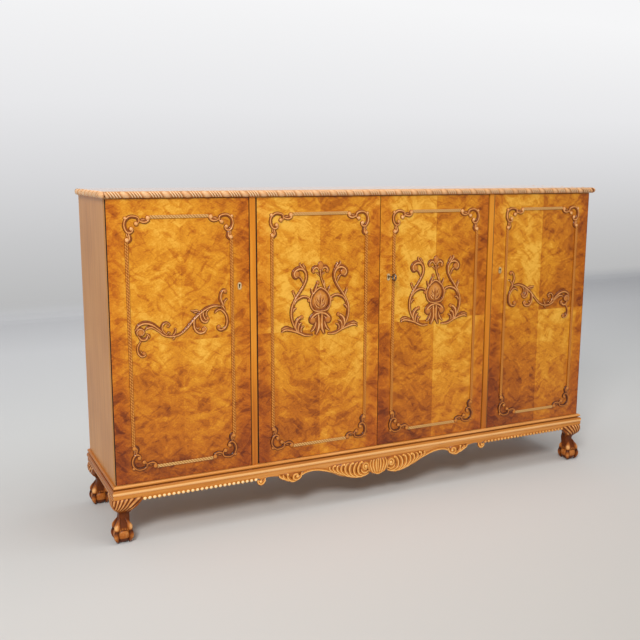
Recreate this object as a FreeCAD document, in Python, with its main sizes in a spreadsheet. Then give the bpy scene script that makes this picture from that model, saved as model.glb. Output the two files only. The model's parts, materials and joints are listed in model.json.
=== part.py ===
"""Linen cupboard: a wide four-door case on a moulded base with four claw-and-ball feet.

Frame: millimetres, +Z up, +X to the right of someone facing the doors, front towards -Y.
The origin lies on the floor under the middle of the whole cupboard, its key included.
"""
import FreeCAD, Part
import math
import os
from types import SimpleNamespace

import Sketcher
from FreeCAD import Placement, Rotation, Vector

# Driving dimensions, in millimetres
SIZES = {
    # Case
    "case_width": 1970,
    "case_depth": 429,
    "case_height": 937,
    "base_height": 200,
    "side_thickness": 20,
    "panel_thickness": 20,
    "partition_thickness": 22,
    "partition_offset": 495,
    "back_thickness": 6,
    # Top board and its gadrooned edge
    "top_thickness": 22,
    "top_overhang": 15,
    "gadroon_depth": 12,
    "gadroon_pitch": 16,
    "groove_width": 6,
    "groove_depth": 3.5,
    # Doors
    "door_thickness": 20,
    "door_gap": 2,
    "meeting_gap": 2.5,
    "door_case_gap": 2,
    # Knife hinges
    "hinge_inset": 6,
    "hinge_pin_radius": 2.5,
    "hinge_pin_clearance": 0.1,
    "hinge_leaf_length": 40,
    "hinge_leaf_width": 10,
    "hinge_leaf_thickness": 2.2,
    "hinge_leaf_play": 0.2,
    "recess_clearance": 0.2,
    # Base frame moulding
    "base_depth": 50,
    "frame_height": 32,
    "lip_out": 10,
    "lip_height": 10,
    "quirk_out": 2,
    "quirk_height": 4,
    "fascia_out": 13,
    "fascia_shoulder": 4,
    # Carved front apron
    "apron_out": 11,
    "apron_thickness": 20,
    "apron_drop": 68,
    "apron_band": 14,
    "apron_carved_half": 492,
    # Feet
    "foot_inset": 20,
    "ball_radius": 31,
    "ball_height": 28,
    "toe_radius": 8,
    "knuckle_radius": 9.5,
    "claw_radius": 10.5,
    "toe_reach": 37,
    "knee_half_width": 31,
    "ankle_half_width": 19,
    "foot_reach": 18,
    "wing_length": 84,
    "wing_tip_height": 14,
    "wing_drop": 66,
    "wing_root": 46,
    # Shelves and their pins
    "shelf_thickness": 18,
    "shelf_setback": 25,
    "shelf_side_gap": 1,
    "shelf_back_gap": 2,
    "pin_radius": 3,
    "pin_hole_depth": 8,
    "pin_reach": 8,
    "pin_clearance": 0.1,
    "pin_edge_distance": 50,
    # Locks and their bolts
    "lock_height": 60,
    "lock_length": 52,
    "lock_depth": 12,
    "lock_wall": 1.5,
    "lock_backset": 36,
    "key_height": 643,
    "bolt_height": 12,
    "bolt_width": 6,
    "bolt_length": 34,
    "bolt_setback": 0.5,
    "bolt_lift": 10,
    "bolt_clearance": 0.2,
    "talon_width": 4,
    "talon_offset": 4.5,
    "talon_drop": 8,
    "strike_depth": 9,
    "strike_clearance": 1,
    # Keyhole and escutcheon
    "keyhole_radius": 3.4,
    "keyhole_slot_width": 3.4,
    "keyhole_slot_drop": 9.5,
    "escutcheon_width": 13,
    "escutcheon_height": 25,
    "escutcheon_thickness": 1.6,
    # Key
    "key_reach": 57,
    "key_shank_radius": 2.5,
    "key_collar_radius": 4.2,
    "key_collar_length": 4,
    "key_bow_radius": 14,
    "key_bow_wire_radius": 3,
    "key_bit_drop": 9,
    "key_bit_width": 2.5,
    "key_bit_clearance": 1,
    # Shoot bolts of the second door
    "shoot_radius": 3,
    "shoot_length": 62,
    "shoot_standoff": 9,
    "shoot_edge_distance": 15,
    "shoot_end_gap": 2,
    "shoot_hole_clearance": 0.5,
    "shoot_hole_depth": 15,
    "shoot_guide_clearance": 0.2,
    "shoot_plate_width": 16,
    "shoot_plate_thickness": 2,
    "shoot_plate_length": 56,
    "shoot_guide_length": 8,
    "shoot_knob_radius": 2.5,
    "shoot_knob_length": 8,
    # Applied door mouldings
    "outer_frame_width": 371,
    "inner_frame_width": 388,
    "frame_panel_height": 838,
    "frame_panel_lift": 45,
    "corner_width": 88,
    "corner_height": 84,
    "corner_radius": 3.2,
    "corner_bud_radius": 4.6,
    "strip_width": 9,
    "strip_base": 2.5,
    "strip_inset_x": 10,
    "strip_inset_z": 6,
    # Carved ornaments on the doors
    "lyre_width": 304,
    "lyre_height": 266,
    "lyre_lift": 445,
    "branch_width": 320,
    "branch_height": 221,
    "branch_lift": 416,
    "stem_radius": 4.5,
    "twig_radius": 3.4,
    "eye_radius": 6,
    "cartouche_rim_radius": 4,
    "cartouche_thickness": 3,
    # Reach of the cutting tools, and their overrun past the face that they open
    "overrun": 5,
    "groove_reach": 33,
    "mitre_reach": 200,
    "stand_reach": 125,
}
GADROON_SLANT = 35.0
REEDS = 3
NEARLY_ZERO = 1e-5

# Outlines and places as shares of the sizes that they follow
SHELF_HEIGHT_SHARES = {"lower": 0.34, "upper": 0.67}
KNEE_SECTION_SHARES = [
    # height, half width as a share of the knee's, shift outwards as a share of the foot's inset
    (1.0, 0.94, 0.20),
    (0.84, 1.0, 0.25),
    (0.69, 0.84, 0.08),
]
ANKLE_SECTION_SHARES = [
    # height, half width as a share of the ankle's, shift outwards
    (0.57, 1.0, -0.35),
    (0.48, 1.02, -0.30),
    (0.34, 1.3, -0.05),
]
SECTION_CORNER_SHARE = 0.55
TOE_START_SHARES = (0.42, 2.7)
TOE_MIDDLE_SHARES = (1.0, 1.75)
TOE_END_SHARES = (0.96, 0.42)
KNUCKLE_SHARES = [(0.78, 2.25), (1.0, 1.45)]
WING_CURVE_SHARES = (0.76, 0.58)
SHOOT_KNOB_SHARE = 0.55
APRON_MIDDLE_SHARES = (0.0, 0.95)
APRON_CURVE_SHARES = [
    # middle and end of each arc from the middle of the apron outwards, the last end being the plain band
    ((0.04, 0.91), (0.077, 0.75)),
    ((0.20, 1.0), (0.34, 0.84)),
    ((0.46, 0.46), (0.60, 0.27)),
    ((0.63, 0.25), (0.65, 0.28)),
    ((0.70, 0.56), (0.78, 0.43)),
    ((0.85, 0.29), (0.925, 0.26)),
    ((0.965, 0.32),),
]
CORNER_SCROLL_SHARES = [
    (0.50, 0.26), (0.58, 0.30), (0.64, 0.19), (0.53, 0.06), (0.31, 0.04), (0.12, 0.10),
    (0.04, 0.30), (0.08, 0.48), (0.19, 0.60), (0.32, 0.60), (0.36, 0.51), (0.29, 0.47),
]
CORNER_LINK_SHARES = [
    [(0.62, 0.13), (0.75, 0.17), (0.86, 0.14), (0.94, 0.071)],
    [(0.19, 0.60), (0.26, 0.72), (0.25, 0.84), (0.114, 0.94)],
]
LYRE_STEM_SHARES = [
    [(0.51, 0.06), (0.65, 0.14), (0.72, 0.26), (0.73, 0.37), (0.68, 0.46), (0.59, 0.54), (0.45, 0.65),
     (0.36, 0.74), (0.35, 0.83), (0.42, 0.90), (0.55, 0.91), (0.66, 0.88), (0.68, 0.82), (0.61, 0.80)],
    [(0.19, 0.03), (0.39, 0.025), (0.57, 0.07), (0.78, 0.11), (0.95, 0.11), (0.98, 0.065)],
]
LYRE_TWIG_SHARES = [
    [(0.38, 0.84), (0.46, 0.93), (0.51, 0.98)],
    [(0.64, 0.47), (0.55, 0.51), (0.43, 0.53), (0.31, 0.52), (0.265, 0.49), (0.33, 0.47)],
    [(0.64, 0.50), (0.65, 0.58), (0.69, 0.61)],
    [(0.52, 0.06), (0.57, 0.14), (0.56, 0.21), (0.50, 0.24), (0.43, 0.255)],
    [(0.19, 0.575), (0.25, 0.61), (0.29, 0.645)],
    [(0.13, 0.61), (0.12, 0.69), (0.08, 0.74)],
    [(0.0, 0.85), (0.01, 0.74), (0.105, 0.62)],
    [(0.0, 0.86), (0.07, 0.91), (0.16, 0.90), (0.20, 0.86), (0.15, 0.84)],
    [(0.0, 0.315), (0.14, 0.295), (0.25, 0.235), (0.24, 0.185), (0.17, 0.19)],
    [(0.03, 0.16), (0.06, 0.09), (0.05, 0.03)],
    [(0.04, 0.15), (0.11, 0.10), (0.14, 0.07)],
]
LYRE_PETAL_SHARES = [(0.0, 0.86), (0.0, 0.92), (0.0, 0.97)]
LYRE_EYE_SHARES = [(0.59, 0.825), (0.19, 0.205)]
CARTOUCHE_SHARES = (0.475, 0.235, 0.145)
BRANCH_STEM_SHARES = [
    [(-0.97, 0.46), (-0.78, 0.51), (-0.62, 0.485), (-0.47, 0.40), (-0.32, 0.33), (-0.175, 0.317),
     (-0.02, 0.35), (0.11, 0.43), (0.24, 0.535), (0.37, 0.615), (0.53, 0.70), (0.725, 0.72),
     (0.86, 0.69), (0.95, 0.60), (0.97, 0.485), (0.94, 0.38), (0.845, 0.335), (0.77, 0.38)],
]
BRANCH_TWIG_SHARES = [
    [(-0.60, 0.455), (-0.73, 0.45), (-0.82, 0.41), (-0.85, 0.355), (-0.91, 0.335), (-0.965, 0.385)],
    [(-0.92, 0.345), (-0.87, 0.245), (-0.78, 0.27), (-0.75, 0.33)],
    [(-0.88, 0.25), (-0.93, 0.12), (-0.88, 0.03), (-0.81, 0.05)],
    [(-0.32, 0.33), (-0.41, 0.395), (-0.44, 0.45), (-0.39, 0.50), (-0.30, 0.50), (-0.28, 0.44)],
    [(0.27, 0.56), (0.25, 0.455), (0.28, 0.36), (0.375, 0.33), (0.455, 0.36)],
    [(0.40, 0.63), (0.405, 0.54), (0.505, 0.485)],
    [(0.53, 0.70), (0.51, 0.60), (0.57, 0.56)],
    [(0.42, 0.645), (0.305, 0.655), (0.205, 0.685)],
    [(0.94, 0.62), (0.855, 0.75), (0.825, 0.855), (0.87, 0.94), (0.94, 0.955)],
    [(0.92, 0.66), (0.92, 0.78), (0.96, 0.805)],
    [(0.72, 0.60), (0.79, 0.645), (0.93, 0.62)],
]
BRANCH_EYE_SHARES = [(-0.90, 0.40), (0.80, 0.39), (0.455, 0.385), (0.94, 0.955), (0.56, 0.545)]


class Size:
    """A length that keeps its value and the expression over the sheet's cells that gives it."""

    def __init__(self, value, text):
        self.value = value
        self.text = text

    def __float__(self):
        return float(self.value)

    def __neg__(self):
        return Size(-self.value, f"(0 - {self.text})")

    def __add__(self, other):
        other = as_size(other)
        return Size(self.value + other.value, f"({self.text} + {other.text})")

    def __sub__(self, other):
        other = as_size(other)
        return Size(self.value - other.value, f"({self.text} - {other.text})")

    def __mul__(self, other):
        other = as_size(other)
        return Size(self.value * other.value, f"({self.text} * {other.text})")

    def __truediv__(self, other):
        other = as_size(other)
        return Size(self.value / other.value, f"({self.text} / {other.text})")

    __radd__ = __add__
    __rmul__ = __mul__


def as_size(item):
    """A plain number as a Size, and a Size as it is."""
    return item if isinstance(item, Size) else Size(item, repr(item))


doc = FreeCAD.newDocument("linen_cupboard")
sheet = doc.addObject("Spreadsheet::Sheet", "Sizes")
for row, (alias, number) in enumerate(SIZES.items(), start=1):
    sheet.set(f"A{row}", alias)
    sheet.set(f"B{row}", str(number))
    sheet.setAlias(f"B{row}", alias)
doc.recompute()
size = SimpleNamespace(**{alias: Size(sheet.get(alias), "Sizes." + alias) for alias in SIZES})
NODES = []
UP = Vector(0, 0, 1)
RIGHT = Vector(1, 0, 0)
BACKWARDS = Vector(0, 1, 0)


# Small helpers

def bind(item, prop, value):
    """Tie one property of an object to the sizes that give it."""
    item.setExpression(prop, as_size(value).text)


def place(item, x, y, z):
    """Tie an object's place to the sizes that give it."""
    for axis, value in zip("xyz", (x, y, z)):
        bind(item, "Placement.Base." + axis, value)
    return item


def node(name, item):
    """Keep an object as a finished piece under its own name."""
    item.Label = name
    NODES.append(item)
    return item


def board(name, x, y, z):
    """A rectangular board between two places on each axis."""
    item = doc.addObject("Part::Box", name)
    for prop, (low, high) in zip(("Length", "Width", "Height"), (x, y, z)):
        bind(item, prop, high - low)
    return place(item, x[0], y[0], z[0])


def rod(name, radius, length, axis, start):
    """A round rod from its start along one axis."""
    item = doc.addObject("Part::Cylinder", name)
    item.Placement = Placement(Vector(), Rotation(UP, axis))
    bind(item, "Radius", radius)
    bind(item, "Height", length)
    return place(item, *start)


def together(name, items):
    """Separate solids that share one name."""
    item = doc.addObject("Part::Compound", name)
    item.Links = items
    return item


def joined(name, items):
    """One solid made of several."""
    item = doc.addObject("Part::MultiFuse", name)
    item.Shapes = items
    return item


def without(name, base, tools):
    """A solid with holes and recesses taken out of it."""
    item = doc.addObject("Part::Cut", name)
    item.Base = base
    item.Tool = tools[0] if len(tools) == 1 else together(name + "_tools", tools)
    return item


def mirrored(name, source, normal=RIGHT, across=None):
    """The same piece on the other side of the middle, or of a plane across Y."""
    item = doc.addObject("Part::Mirroring", name)
    item.Source = source
    item.Normal = normal
    if across is not None:
        bind(item, "Base.y", across)
    return item


def both_sides(name, source):
    """Keep a left piece and its mirror image on the right."""
    node("left_" + name, source)
    node("right_" + name, mirrored("right_" + name, source))


def carving(name, shape, x, y, z):
    """A carved piece whose shape is worked out here and then put in its place."""
    item = doc.addObject("Part::Feature", name)
    item.Shape = shape
    return place(item, x, y, z)


def flat(point):
    """A point of a sketch."""
    return Vector(float(point[0]), float(point[1]), 0)


def hold(sketch, geometry, end, point):
    """Dimension one point of a sketch from the sketch's origin."""
    for kind, value in zip(("DistanceX", "DistanceY"), point):
        index = sketch.addConstraint(Sketcher.Constraint(kind, -1, 1, geometry, end, float(value)))
        sketch.renameConstraint(index, f"{kind}{geometry}")
        bind(sketch, f"Constraints.{kind}{geometry}", value)


def outline(body, role, start, steps):
    """A closed sketch: each step is the end of a line, or the middle and the end of an arc."""
    sketch = body.newObject("Sketcher::SketchObject", body.Name + "_outline")
    plane = next(item for item in body.Origin.OriginFeatures if item.Role == role)
    sketch.AttachmentSupport = [(plane, "")]
    sketch.MapMode = "FlatFace"
    here = start
    joints = []
    for step in steps + [(start,)]:
        end = step[-1]
        if len(step) == 2:
            curve = sketch.addGeometry(Part.Arc(flat(here), flat(step[0]), flat(end)), False)
            middle = sketch.addGeometry(Part.Point(flat(step[0])), True)
            hold(sketch, middle, 1, step[0])
            sketch.addConstraint(Sketcher.Constraint("PointOnObject", middle, 1, curve))
        else:
            curve = sketch.addGeometry(Part.LineSegment(flat(here), flat(end)), False)
        forward = sketch.getPoint(curve, 1).isEqual(flat(here), NEARLY_ZERO)
        joints.append((curve, 1 if forward else 2, 2 if forward else 1))
        hold(sketch, curve, joints[-1][1], here)
        here = end
    for (curve, _, last), (following, first, _) in zip(joints, joints[1:] + joints[:1]):
        sketch.addConstraint(Sketcher.Constraint("Coincident", curve, last, following, first))
    return sketch


def padded(name, role, start, steps, length, at):
    """A body padded from one outline: upwards from XY, to the right from YZ, forwards from XZ."""
    body = doc.addObject("PartDesign::Body", name)
    pad = body.newObject("PartDesign::Pad", name + "_pad")
    pad.Profile = outline(body, role, start, steps)
    bind(pad, "Length", length)
    return place(body, *at)


# Places that several pieces share

half_case = size.case_width / 2
overall_depth = size.case_depth + size.key_reach
case_back = overall_depth / 2
door_front = case_back - size.case_depth
door_back = door_front + size.door_thickness
case_front = door_back + size.door_case_gap
back_front = case_back - size.back_thickness
base_top = size.base_height
frame_under = base_top - size.frame_height
top_under = base_top + size.case_height
inner_half = half_case - size.side_thickness
floor_of_case = base_top + size.panel_thickness
roof_of_case = top_under - size.panel_thickness
partition_left = -size.partition_offset - size.partition_thickness / 2
partition_right = partition_left + size.partition_thickness
door_low = base_top + size.door_gap
door_high = top_under - size.door_gap
hinge_y = door_front + size.hinge_inset
top_half = half_case + size.top_overhang
top_front = door_front - size.top_overhang
LEFT_DOOR = SimpleNamespace(hinge=-half_case, edge=partition_left - size.door_gap, turn=1)
CENTRE_LEFT_DOOR = SimpleNamespace(hinge=partition_right + size.door_gap, edge=-size.meeting_gap / 2, turn=1)
CENTRE_RIGHT_DOOR = SimpleNamespace(hinge=-CENTRE_LEFT_DOOR.hinge, edge=size.meeting_gap / 2, turn=-1)


# Shelf pins and the holes that they stand in

def pin_places():
    """Depth and height of each pin on one wall of a bay."""
    front = case_front + size.shelf_setback + size.pin_edge_distance
    back = back_front - size.shelf_back_gap - size.pin_edge_distance
    inner_height = roof_of_case - floor_of_case
    for share in SHELF_HEIGHT_SHARES.values():
        height = floor_of_case + inner_height * share - size.pin_radius - size.pin_clearance
        yield front, height
        yield back, height


def pin_holes(name, wall, turn):
    """Blind holes from one wall face into the wood, towards turn."""
    radius = size.pin_radius + size.pin_clearance
    depth = size.pin_hole_depth + size.overrun
    start = wall - turn * size.overrun
    axis = RIGHT * turn
    return [rod(name + "_pin_hole", radius, depth, axis, (start, y, z)) for y, z in pin_places()]


def pins(name, wall, turn):
    """Pins seated in a wall's holes and reaching out of it against turn."""
    length = size.pin_hole_depth + size.pin_reach
    start = wall + turn * size.pin_hole_depth
    axis = RIGHT * -turn
    return [rod(name + "_pin", size.pin_radius, length, axis, (start, y, z)) for y, z in pin_places()]


# Case boards

def case_boards():
    """Sides, partitions, roof, floor, stiles and back of the case."""
    case_run = (case_front, back_front)
    case_rise = (base_top, top_under)
    side_blank = board("side_blank", (-half_case, -inner_half), (case_front, case_back), case_rise)
    both_sides("side", without("left_side", side_blank, pin_holes("side", -inner_half, -1)))
    partition_blank = board(
        "partition_blank", (partition_left, partition_right), case_run, (floor_of_case, roof_of_case))
    holes = pin_holes("partition_left", partition_left, 1) + pin_holes("partition_right", partition_right, -1)
    both_sides("partition", without("left_partition", partition_blank, holes))
    across = (-inner_half, inner_half)
    roof = board("case_top_blank", across, case_run, (roof_of_case, top_under))
    node("case_top", without("case_top", roof, [shoot_hole("roof", roof_of_case, 1)]))
    ground = board("case_bottom_blank", across, case_run, (base_top, floor_of_case))
    node("case_bottom", without("case_bottom", ground, [shoot_hole("ground", floor_of_case, -1)]))
    stile = board("stile_blank", (partition_left, partition_right), (door_front, case_front), case_rise)
    both_sides("stile", without("left_stile", stile, [strike("stile_strike", LEFT_DOOR, partition_left)]))
    seams = [-inner_half, -size.partition_offset, size.partition_offset, inner_half]
    depth = (back_front, case_back)
    backs = [board("back_board", ends, depth, case_rise) for ends in zip(seams, seams[1:])]
    node("back_panels", together("back_panels", backs))


def shelves():
    """Two loose shelves in each bay, resting on their pins."""
    y = (case_front + size.shelf_setback, back_front - size.shelf_back_gap)
    gap = size.shelf_side_gap
    for level, share in SHELF_HEIGHT_SHARES.items():
        low = floor_of_case + (roof_of_case - floor_of_case) * share
        z = (low, low + size.shelf_thickness)
        left = (gap - inner_half, partition_left - gap)
        both_sides(f"{level}_shelf", board(f"left_{level}_shelf", left, y, z))
        centre = (partition_right + gap, -partition_right - gap)
        node(f"centre_{level}_shelf", board(f"centre_{level}_shelf", centre, y, z))
    left_pins = pins("side", -inner_half, -1)
    left_pins += pins("outer", partition_left, 1)
    left_pins += pins("inner", partition_right, -1)
    half_set = together("left_pins", left_pins)
    node("shelf_pins", together("shelf_pins", [half_set, mirrored("right_pins", half_set)]))


# Mouldings that run round the front and the sides, mitred at the front corners

def mitre(name, keep_front):
    """A block on one side of the mitre plane that runs inwards from the case's left front corner."""
    reach = size.mitre_reach
    slope = math.sqrt(0.5)
    item = doc.addObject("Part::Box", name)
    item.Placement = Placement(Vector(), Rotation(UP, 45))
    bind(item, "Length", reach)
    bind(item, "Width", reach)
    bind(item, "Height", top_under + size.top_thickness + size.overrun)
    x = -half_case - reach * slope / 2
    y = door_front - reach * slope / 2
    if not keep_front:
        x = x + reach * slope
        y = y - reach * slope
    return place(item, x, y, as_size(0))


def run_round(name, profile, out, cut_front, cut_side):
    """A front length and its two side returns, from one profile given as outwards and upwards."""
    start, steps = profile
    front_start, front_steps = turned(start, steps, lambda u, v: (door_front - u, v))
    length = (half_case + out) * 2
    front = padded("front_" + name + "_length", "YZ_Plane", front_start, front_steps, length,
                   (-half_case - out, as_size(0), as_size(0)))
    left_mitre = mitre("front_" + name + "_mitre", True)
    right_mitre = mirrored("front_" + name + "_far_mitre", left_mitre)
    node("front_" + name, without("front_" + name, front, [left_mitre, right_mitre] + cut_front))
    side_start, side_steps = turned(start, steps, lambda u, v: (-half_case - u, v))
    length = case_back - door_front + out
    side = padded("left_" + name + "_length", "XZ_Plane", side_start, side_steps, length,
                  (as_size(0), case_back, as_size(0)))
    both_sides(name, without("left_" + name, side, [mitre("left_" + name + "_mitre", False)] + cut_side))


def turned(start, steps, change):
    """An outline with each of its points put through one change."""
    return change(*start), [tuple(change(*point) for point in step) for step in steps]


def base_profile():
    """Rounded lip, quirk and swelling fascia of the base frame."""
    lip_radius = size.lip_height / 2
    lip_centre = size.lip_out - lip_radius
    quirk_top = base_top - size.lip_height
    quirk_low = quirk_top - size.quirk_height
    shoulder = size.fascia_out - size.fascia_shoulder
    middle = (quirk_low + frame_under) / 2
    steps = [
        ((lip_centre, base_top),),
        ((size.lip_out, base_top - lip_radius), (lip_centre, quirk_top)),
        ((size.quirk_out, quirk_top),),
        ((size.quirk_out, quirk_low),),
        ((shoulder, quirk_low),),
        ((size.fascia_out, middle), (shoulder, frame_under)),
        ((-size.base_depth, frame_under),),
    ]
    return (-size.base_depth, base_top), steps


def gadroon_profile():
    """Half-round nosing of the top board's edge."""
    radius = size.top_thickness / 2
    inner = size.top_overhang - size.gadroon_depth
    nose = size.top_overhang - radius
    top = top_under + size.top_thickness
    steps = [
        ((nose, top),),
        ((size.top_overhang, top_under + radius), (nose, top_under)),
        ((inner, top_under),),
    ]
    return (inner, top), steps


def gadroon_grooves(name, length, slant, to_place):
    """Slanting V grooves that part the lobes of a gadrooned edge, along its own length."""
    depth = float(size.groove_depth)
    half = float(size.groove_width) / 2
    pitch = float(size.gadroon_pitch)
    height = float(size.top_thickness)
    reach = float(size.groove_reach)
    outside = -float(size.overrun)
    mouth = half * (depth - outside) / depth
    count = int(float(length) // pitch)
    margin = (float(length) - (count - 1) * pitch) / 2
    grooves = []
    for index in range(count):
        place_along = margin + index * pitch
        corners = [Vector(-mouth, outside, 0), Vector(mouth, outside, 0), Vector(0, depth, 0)]
        groove = Part.Face(Part.makePolygon(corners + corners[:1])).extrude(UP * reach * 2)
        groove.translate(UP * -reach)
        groove.rotate(Vector(), BACKWARDS, slant)
        groove.translate(Vector(place_along, 0, height / 2))
        grooves.append(groove)
    item = doc.addObject("Part::Feature", name)
    item.Shape = Part.makeCompound(grooves)
    item.Placement = to_place
    return item


def top_and_base():
    """Top board with its gadrooned edge, and the moulded base frame."""
    top_beds = [hinge_plan(name + "_upper_bed", door, "upper", "bed") for name, door in hung_doors()]
    base_beds = [hinge_plan(name + "_lower_bed", door, "lower", "bed") for name, door in hung_doors()]
    inner = size.gadroon_depth - size.top_overhang
    blank = board("top_blank", (inner - half_case, half_case - inner), (door_front + inner, case_back),
                  (top_under, top_under + size.top_thickness))
    node("top_board", without("top_board", blank, top_beds))
    front_grooves = gadroon_grooves("front_grooves", top_half * 2, -GADROON_SLANT, Placement())
    place(front_grooves, -top_half, top_front, top_under)
    side_length = case_back - top_front
    to_side = Placement(Vector(), Rotation(UP, -90))
    side_grooves = gadroon_grooves("side_grooves", side_length, GADROON_SLANT, to_side)
    place(side_grooves, -top_half, case_back, top_under)
    run_round("gadroon", gadroon_profile(), size.top_overhang, [front_grooves], [side_grooves])
    run_round("base_frame", base_profile(), size.fascia_out, base_beds, base_beds)
    inside = half_case - size.base_depth
    depth = (case_back - size.base_depth, case_back)
    node("back_base_frame", board("back_base_frame", (-inside, inside), depth, (frame_under, base_top)))


def front_apron():
    """Shaped board under the front of the base, between the feet's knee brackets."""
    end = half_case - size.wing_length
    band = frame_under - size.apron_band

    def spot(shares, side):
        return size.apron_carved_half * (shares[0] * side), frame_under - size.apron_drop * shares[1]

    def side_spots(side):
        spots = [spot(shares, side) for arc in APRON_CURVE_SHARES for shares in arc]
        return spots + [(size.apron_carved_half * side, band)]

    left = [spot(APRON_MIDDLE_SHARES, 1)] + side_spots(-1)
    right = side_spots(1)
    steps = [((-end, band),), (left[-1],)]
    steps += [(left[index], left[index - 1]) for index in range(len(left) - 2, 0, -2)]
    steps += list(zip(right[::2], right[1::2]))
    steps += [((end, band),), ((end, frame_under),)]
    at = (as_size(0), door_front - size.apron_out + size.apron_thickness, as_size(0))
    apron = padded("front_apron", "XZ_Plane", (-end, frame_under), steps, size.apron_thickness, at)
    node("front_apron", apron)


# Claw-and-ball feet

def rounded_square(half, centre, height):
    """A square ring with rounded corners at one height of a foot."""
    radius = half * SECTION_CORNER_SHARE
    straight = half - radius
    bend = straight + radius * math.sqrt(0.5)
    edges = []
    for turn in range(4):
        spin = Rotation(UP, 90 * turn)
        spots = [(half, -straight), (half, straight), (bend, bend), (straight, half)]
        a, b, c, d = [spin.multVec(Vector(x, y, 0)) + Vector(centre, centre, height) for x, y in spots]
        edges += [Part.makeLine(a, b), Part.Arc(b, c, d).toShape()]
    return Part.Wire(edges)


def foot_shape():
    """One foot from the case's corner inwards: knee and brackets, ankle, ball and four gripping toes."""
    top = float(frame_under)
    inset = float(size.foot_inset)
    ball = float(size.ball_radius)
    ball_middle = Vector(inset, inset, float(size.ball_height))
    rings = []
    knee = (KNEE_SECTION_SHARES, size.knee_half_width)
    ankle = (ANKLE_SECTION_SHARES, size.ankle_half_width)
    for shares, half_width in (knee, ankle):
        for height, width, shift in shares:
            rings.append(rounded_square(float(half_width) * width, inset * (1 - shift), top * height))
    leg = Part.makeLoft(rings, True, False)
    pieces = [Part.makeSphere(ball, ball_middle)]
    for turn in range(4):
        outwards = Rotation(UP, 45 + 90 * turn).multVec(RIGHT)

        def spot(shares):
            reach = outwards * float(size.toe_reach) * shares[0]
            return Vector(inset, inset, float(size.ball_height) * shares[1]) + reach

        path = Part.Arc(spot(TOE_START_SHARES), spot(TOE_MIDDLE_SHARES), spot(TOE_END_SHARES)).toShape()
        ring = Part.Wire(Part.makeCircle(float(size.toe_radius), path.valueAt(path.FirstParameter),
                                         path.tangentAt(path.FirstParameter)))
        pieces.append(Part.Wire(path).makePipeShell([ring], True, False))
        pieces += [Part.makeSphere(float(size.knuckle_radius), spot(shares)) for shares in KNUCKLE_SHARES]
        pieces.append(Part.makeSphere(float(size.claw_radius), spot(TOE_END_SHARES)))
    foot = leg
    for piece in pieces + foot_brackets(top):
        foot = foot.fuse(piece)
    room = float(size.stand_reach)
    stand = Part.makeBox(room * 2, room * 2, room, Vector(-room, -room, -room))
    return foot.cut(stand)


def foot_brackets(top):
    """The knee's two curved brackets, one along the front and one along the side."""
    length = float(size.wing_length)
    tip = float(size.wing_tip_height)
    drop = float(size.wing_drop)
    near = float(size.foot_inset)
    low = Vector(float(size.wing_root), 0, top - drop)
    bend = Vector(length * WING_CURVE_SHARES[0], 0, top - drop * WING_CURVE_SHARES[1])
    end = Vector(length, 0, top - tip)
    lines = Part.makePolygon([end, Vector(length, 0, top), Vector(near, 0, top), Vector(near, 0, low.z), low])
    curve = Part.Arc(low, bend, end).toShape()
    face = Part.Face(Part.Wire(lines.Edges + [curve]))
    face.translate(BACKWARDS * -float(size.apron_out))
    along_front = face.extrude(BACKWARDS * float(size.apron_thickness))
    along_side = along_front.mirror(Vector(), Vector(1, -1, 0))
    return [along_front, along_side]


def feet():
    """Four feet under the corners of the base frame."""
    front = carving("left_front_foot", foot_shape(), -half_case, door_front, as_size(0))
    middle = (door_front + case_back - size.foot_reach) / 2
    back = mirrored("left_back_foot", front, BACKWARDS, middle)
    for name, foot in (("front_foot", front), ("back_foot", back)):
        both_sides(name, foot)


# Doors, their knife hinges, locks and bolts

ENDS = ("lower", "upper")


def hung_doors():
    """Every door with its name, the right one as a mirror of the left."""
    right = SimpleNamespace(hinge=-LEFT_DOOR.hinge, edge=-LEFT_DOOR.edge, turn=-1)
    return [("left_door", LEFT_DOOR), ("centre_left_door", CENTRE_LEFT_DOOR),
            ("centre_right_door", CENTRE_RIGHT_DOOR), ("right_door", right)]


def hinge_plan(name, door, end, kind):
    """A hinge leaf, or the recess for one, at the upper or lower end of a door."""
    axis_x = door.hinge + door.turn * size.hinge_inset
    thickness = size.hinge_leaf_thickness
    half = size.hinge_leaf_width / 2
    far = size.hinge_leaf_length
    middle = size.door_gap / 2 + base_top if end == "lower" else top_under - size.door_gap / 2
    case_side = -1 if end == "lower" else 1
    side = case_side if kind in ("bed", "case_leaf") else -case_side
    near = middle + side * (size.hinge_leaf_play / 2)
    deep = near + side * thickness
    if kind in ("bed", "door_recess"):
        half = half + size.recess_clearance
        far = far + size.recess_clearance
    z = (near, deep) if side == 1 else (deep, near)
    x = (axis_x, axis_x + far) if door.turn == 1 else (axis_x - far, axis_x)
    plate = board(name + "_plate", x, (hinge_y - half, hinge_y + half), z)
    end_round = rod(name + "_end", half, thickness, UP, (axis_x, hinge_y, z[0]))
    parts = [plate, end_round]
    if kind == "case_leaf":
        stack = thickness * 2 + size.hinge_leaf_play
        low = z[0] if end == "lower" else z[1] - stack
        parts.append(rod(name + "_pin", size.hinge_pin_radius, stack, UP, (axis_x, hinge_y, low)))
    leaf = joined(name + "_leaf", parts)
    if kind == "door_leaf":
        eye = rod(name + "_eye", size.hinge_pin_radius + size.hinge_pin_clearance,
                  thickness + size.overrun * 2, UP, (axis_x, hinge_y, z[0] - size.overrun))
        leaf = without(name + "_bored", leaf, [eye])
    return leaf


def hinges():
    """The case halves of all hinges, with their pins, as one set."""
    leaves = []
    for name, door in hung_doors():
        leaves += [hinge_plan(f"{name}_{end}_case", door, end, "case_leaf") for end in ENDS]
    node("hinge_case_leaves", together("hinge_case_leaves", leaves))


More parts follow.
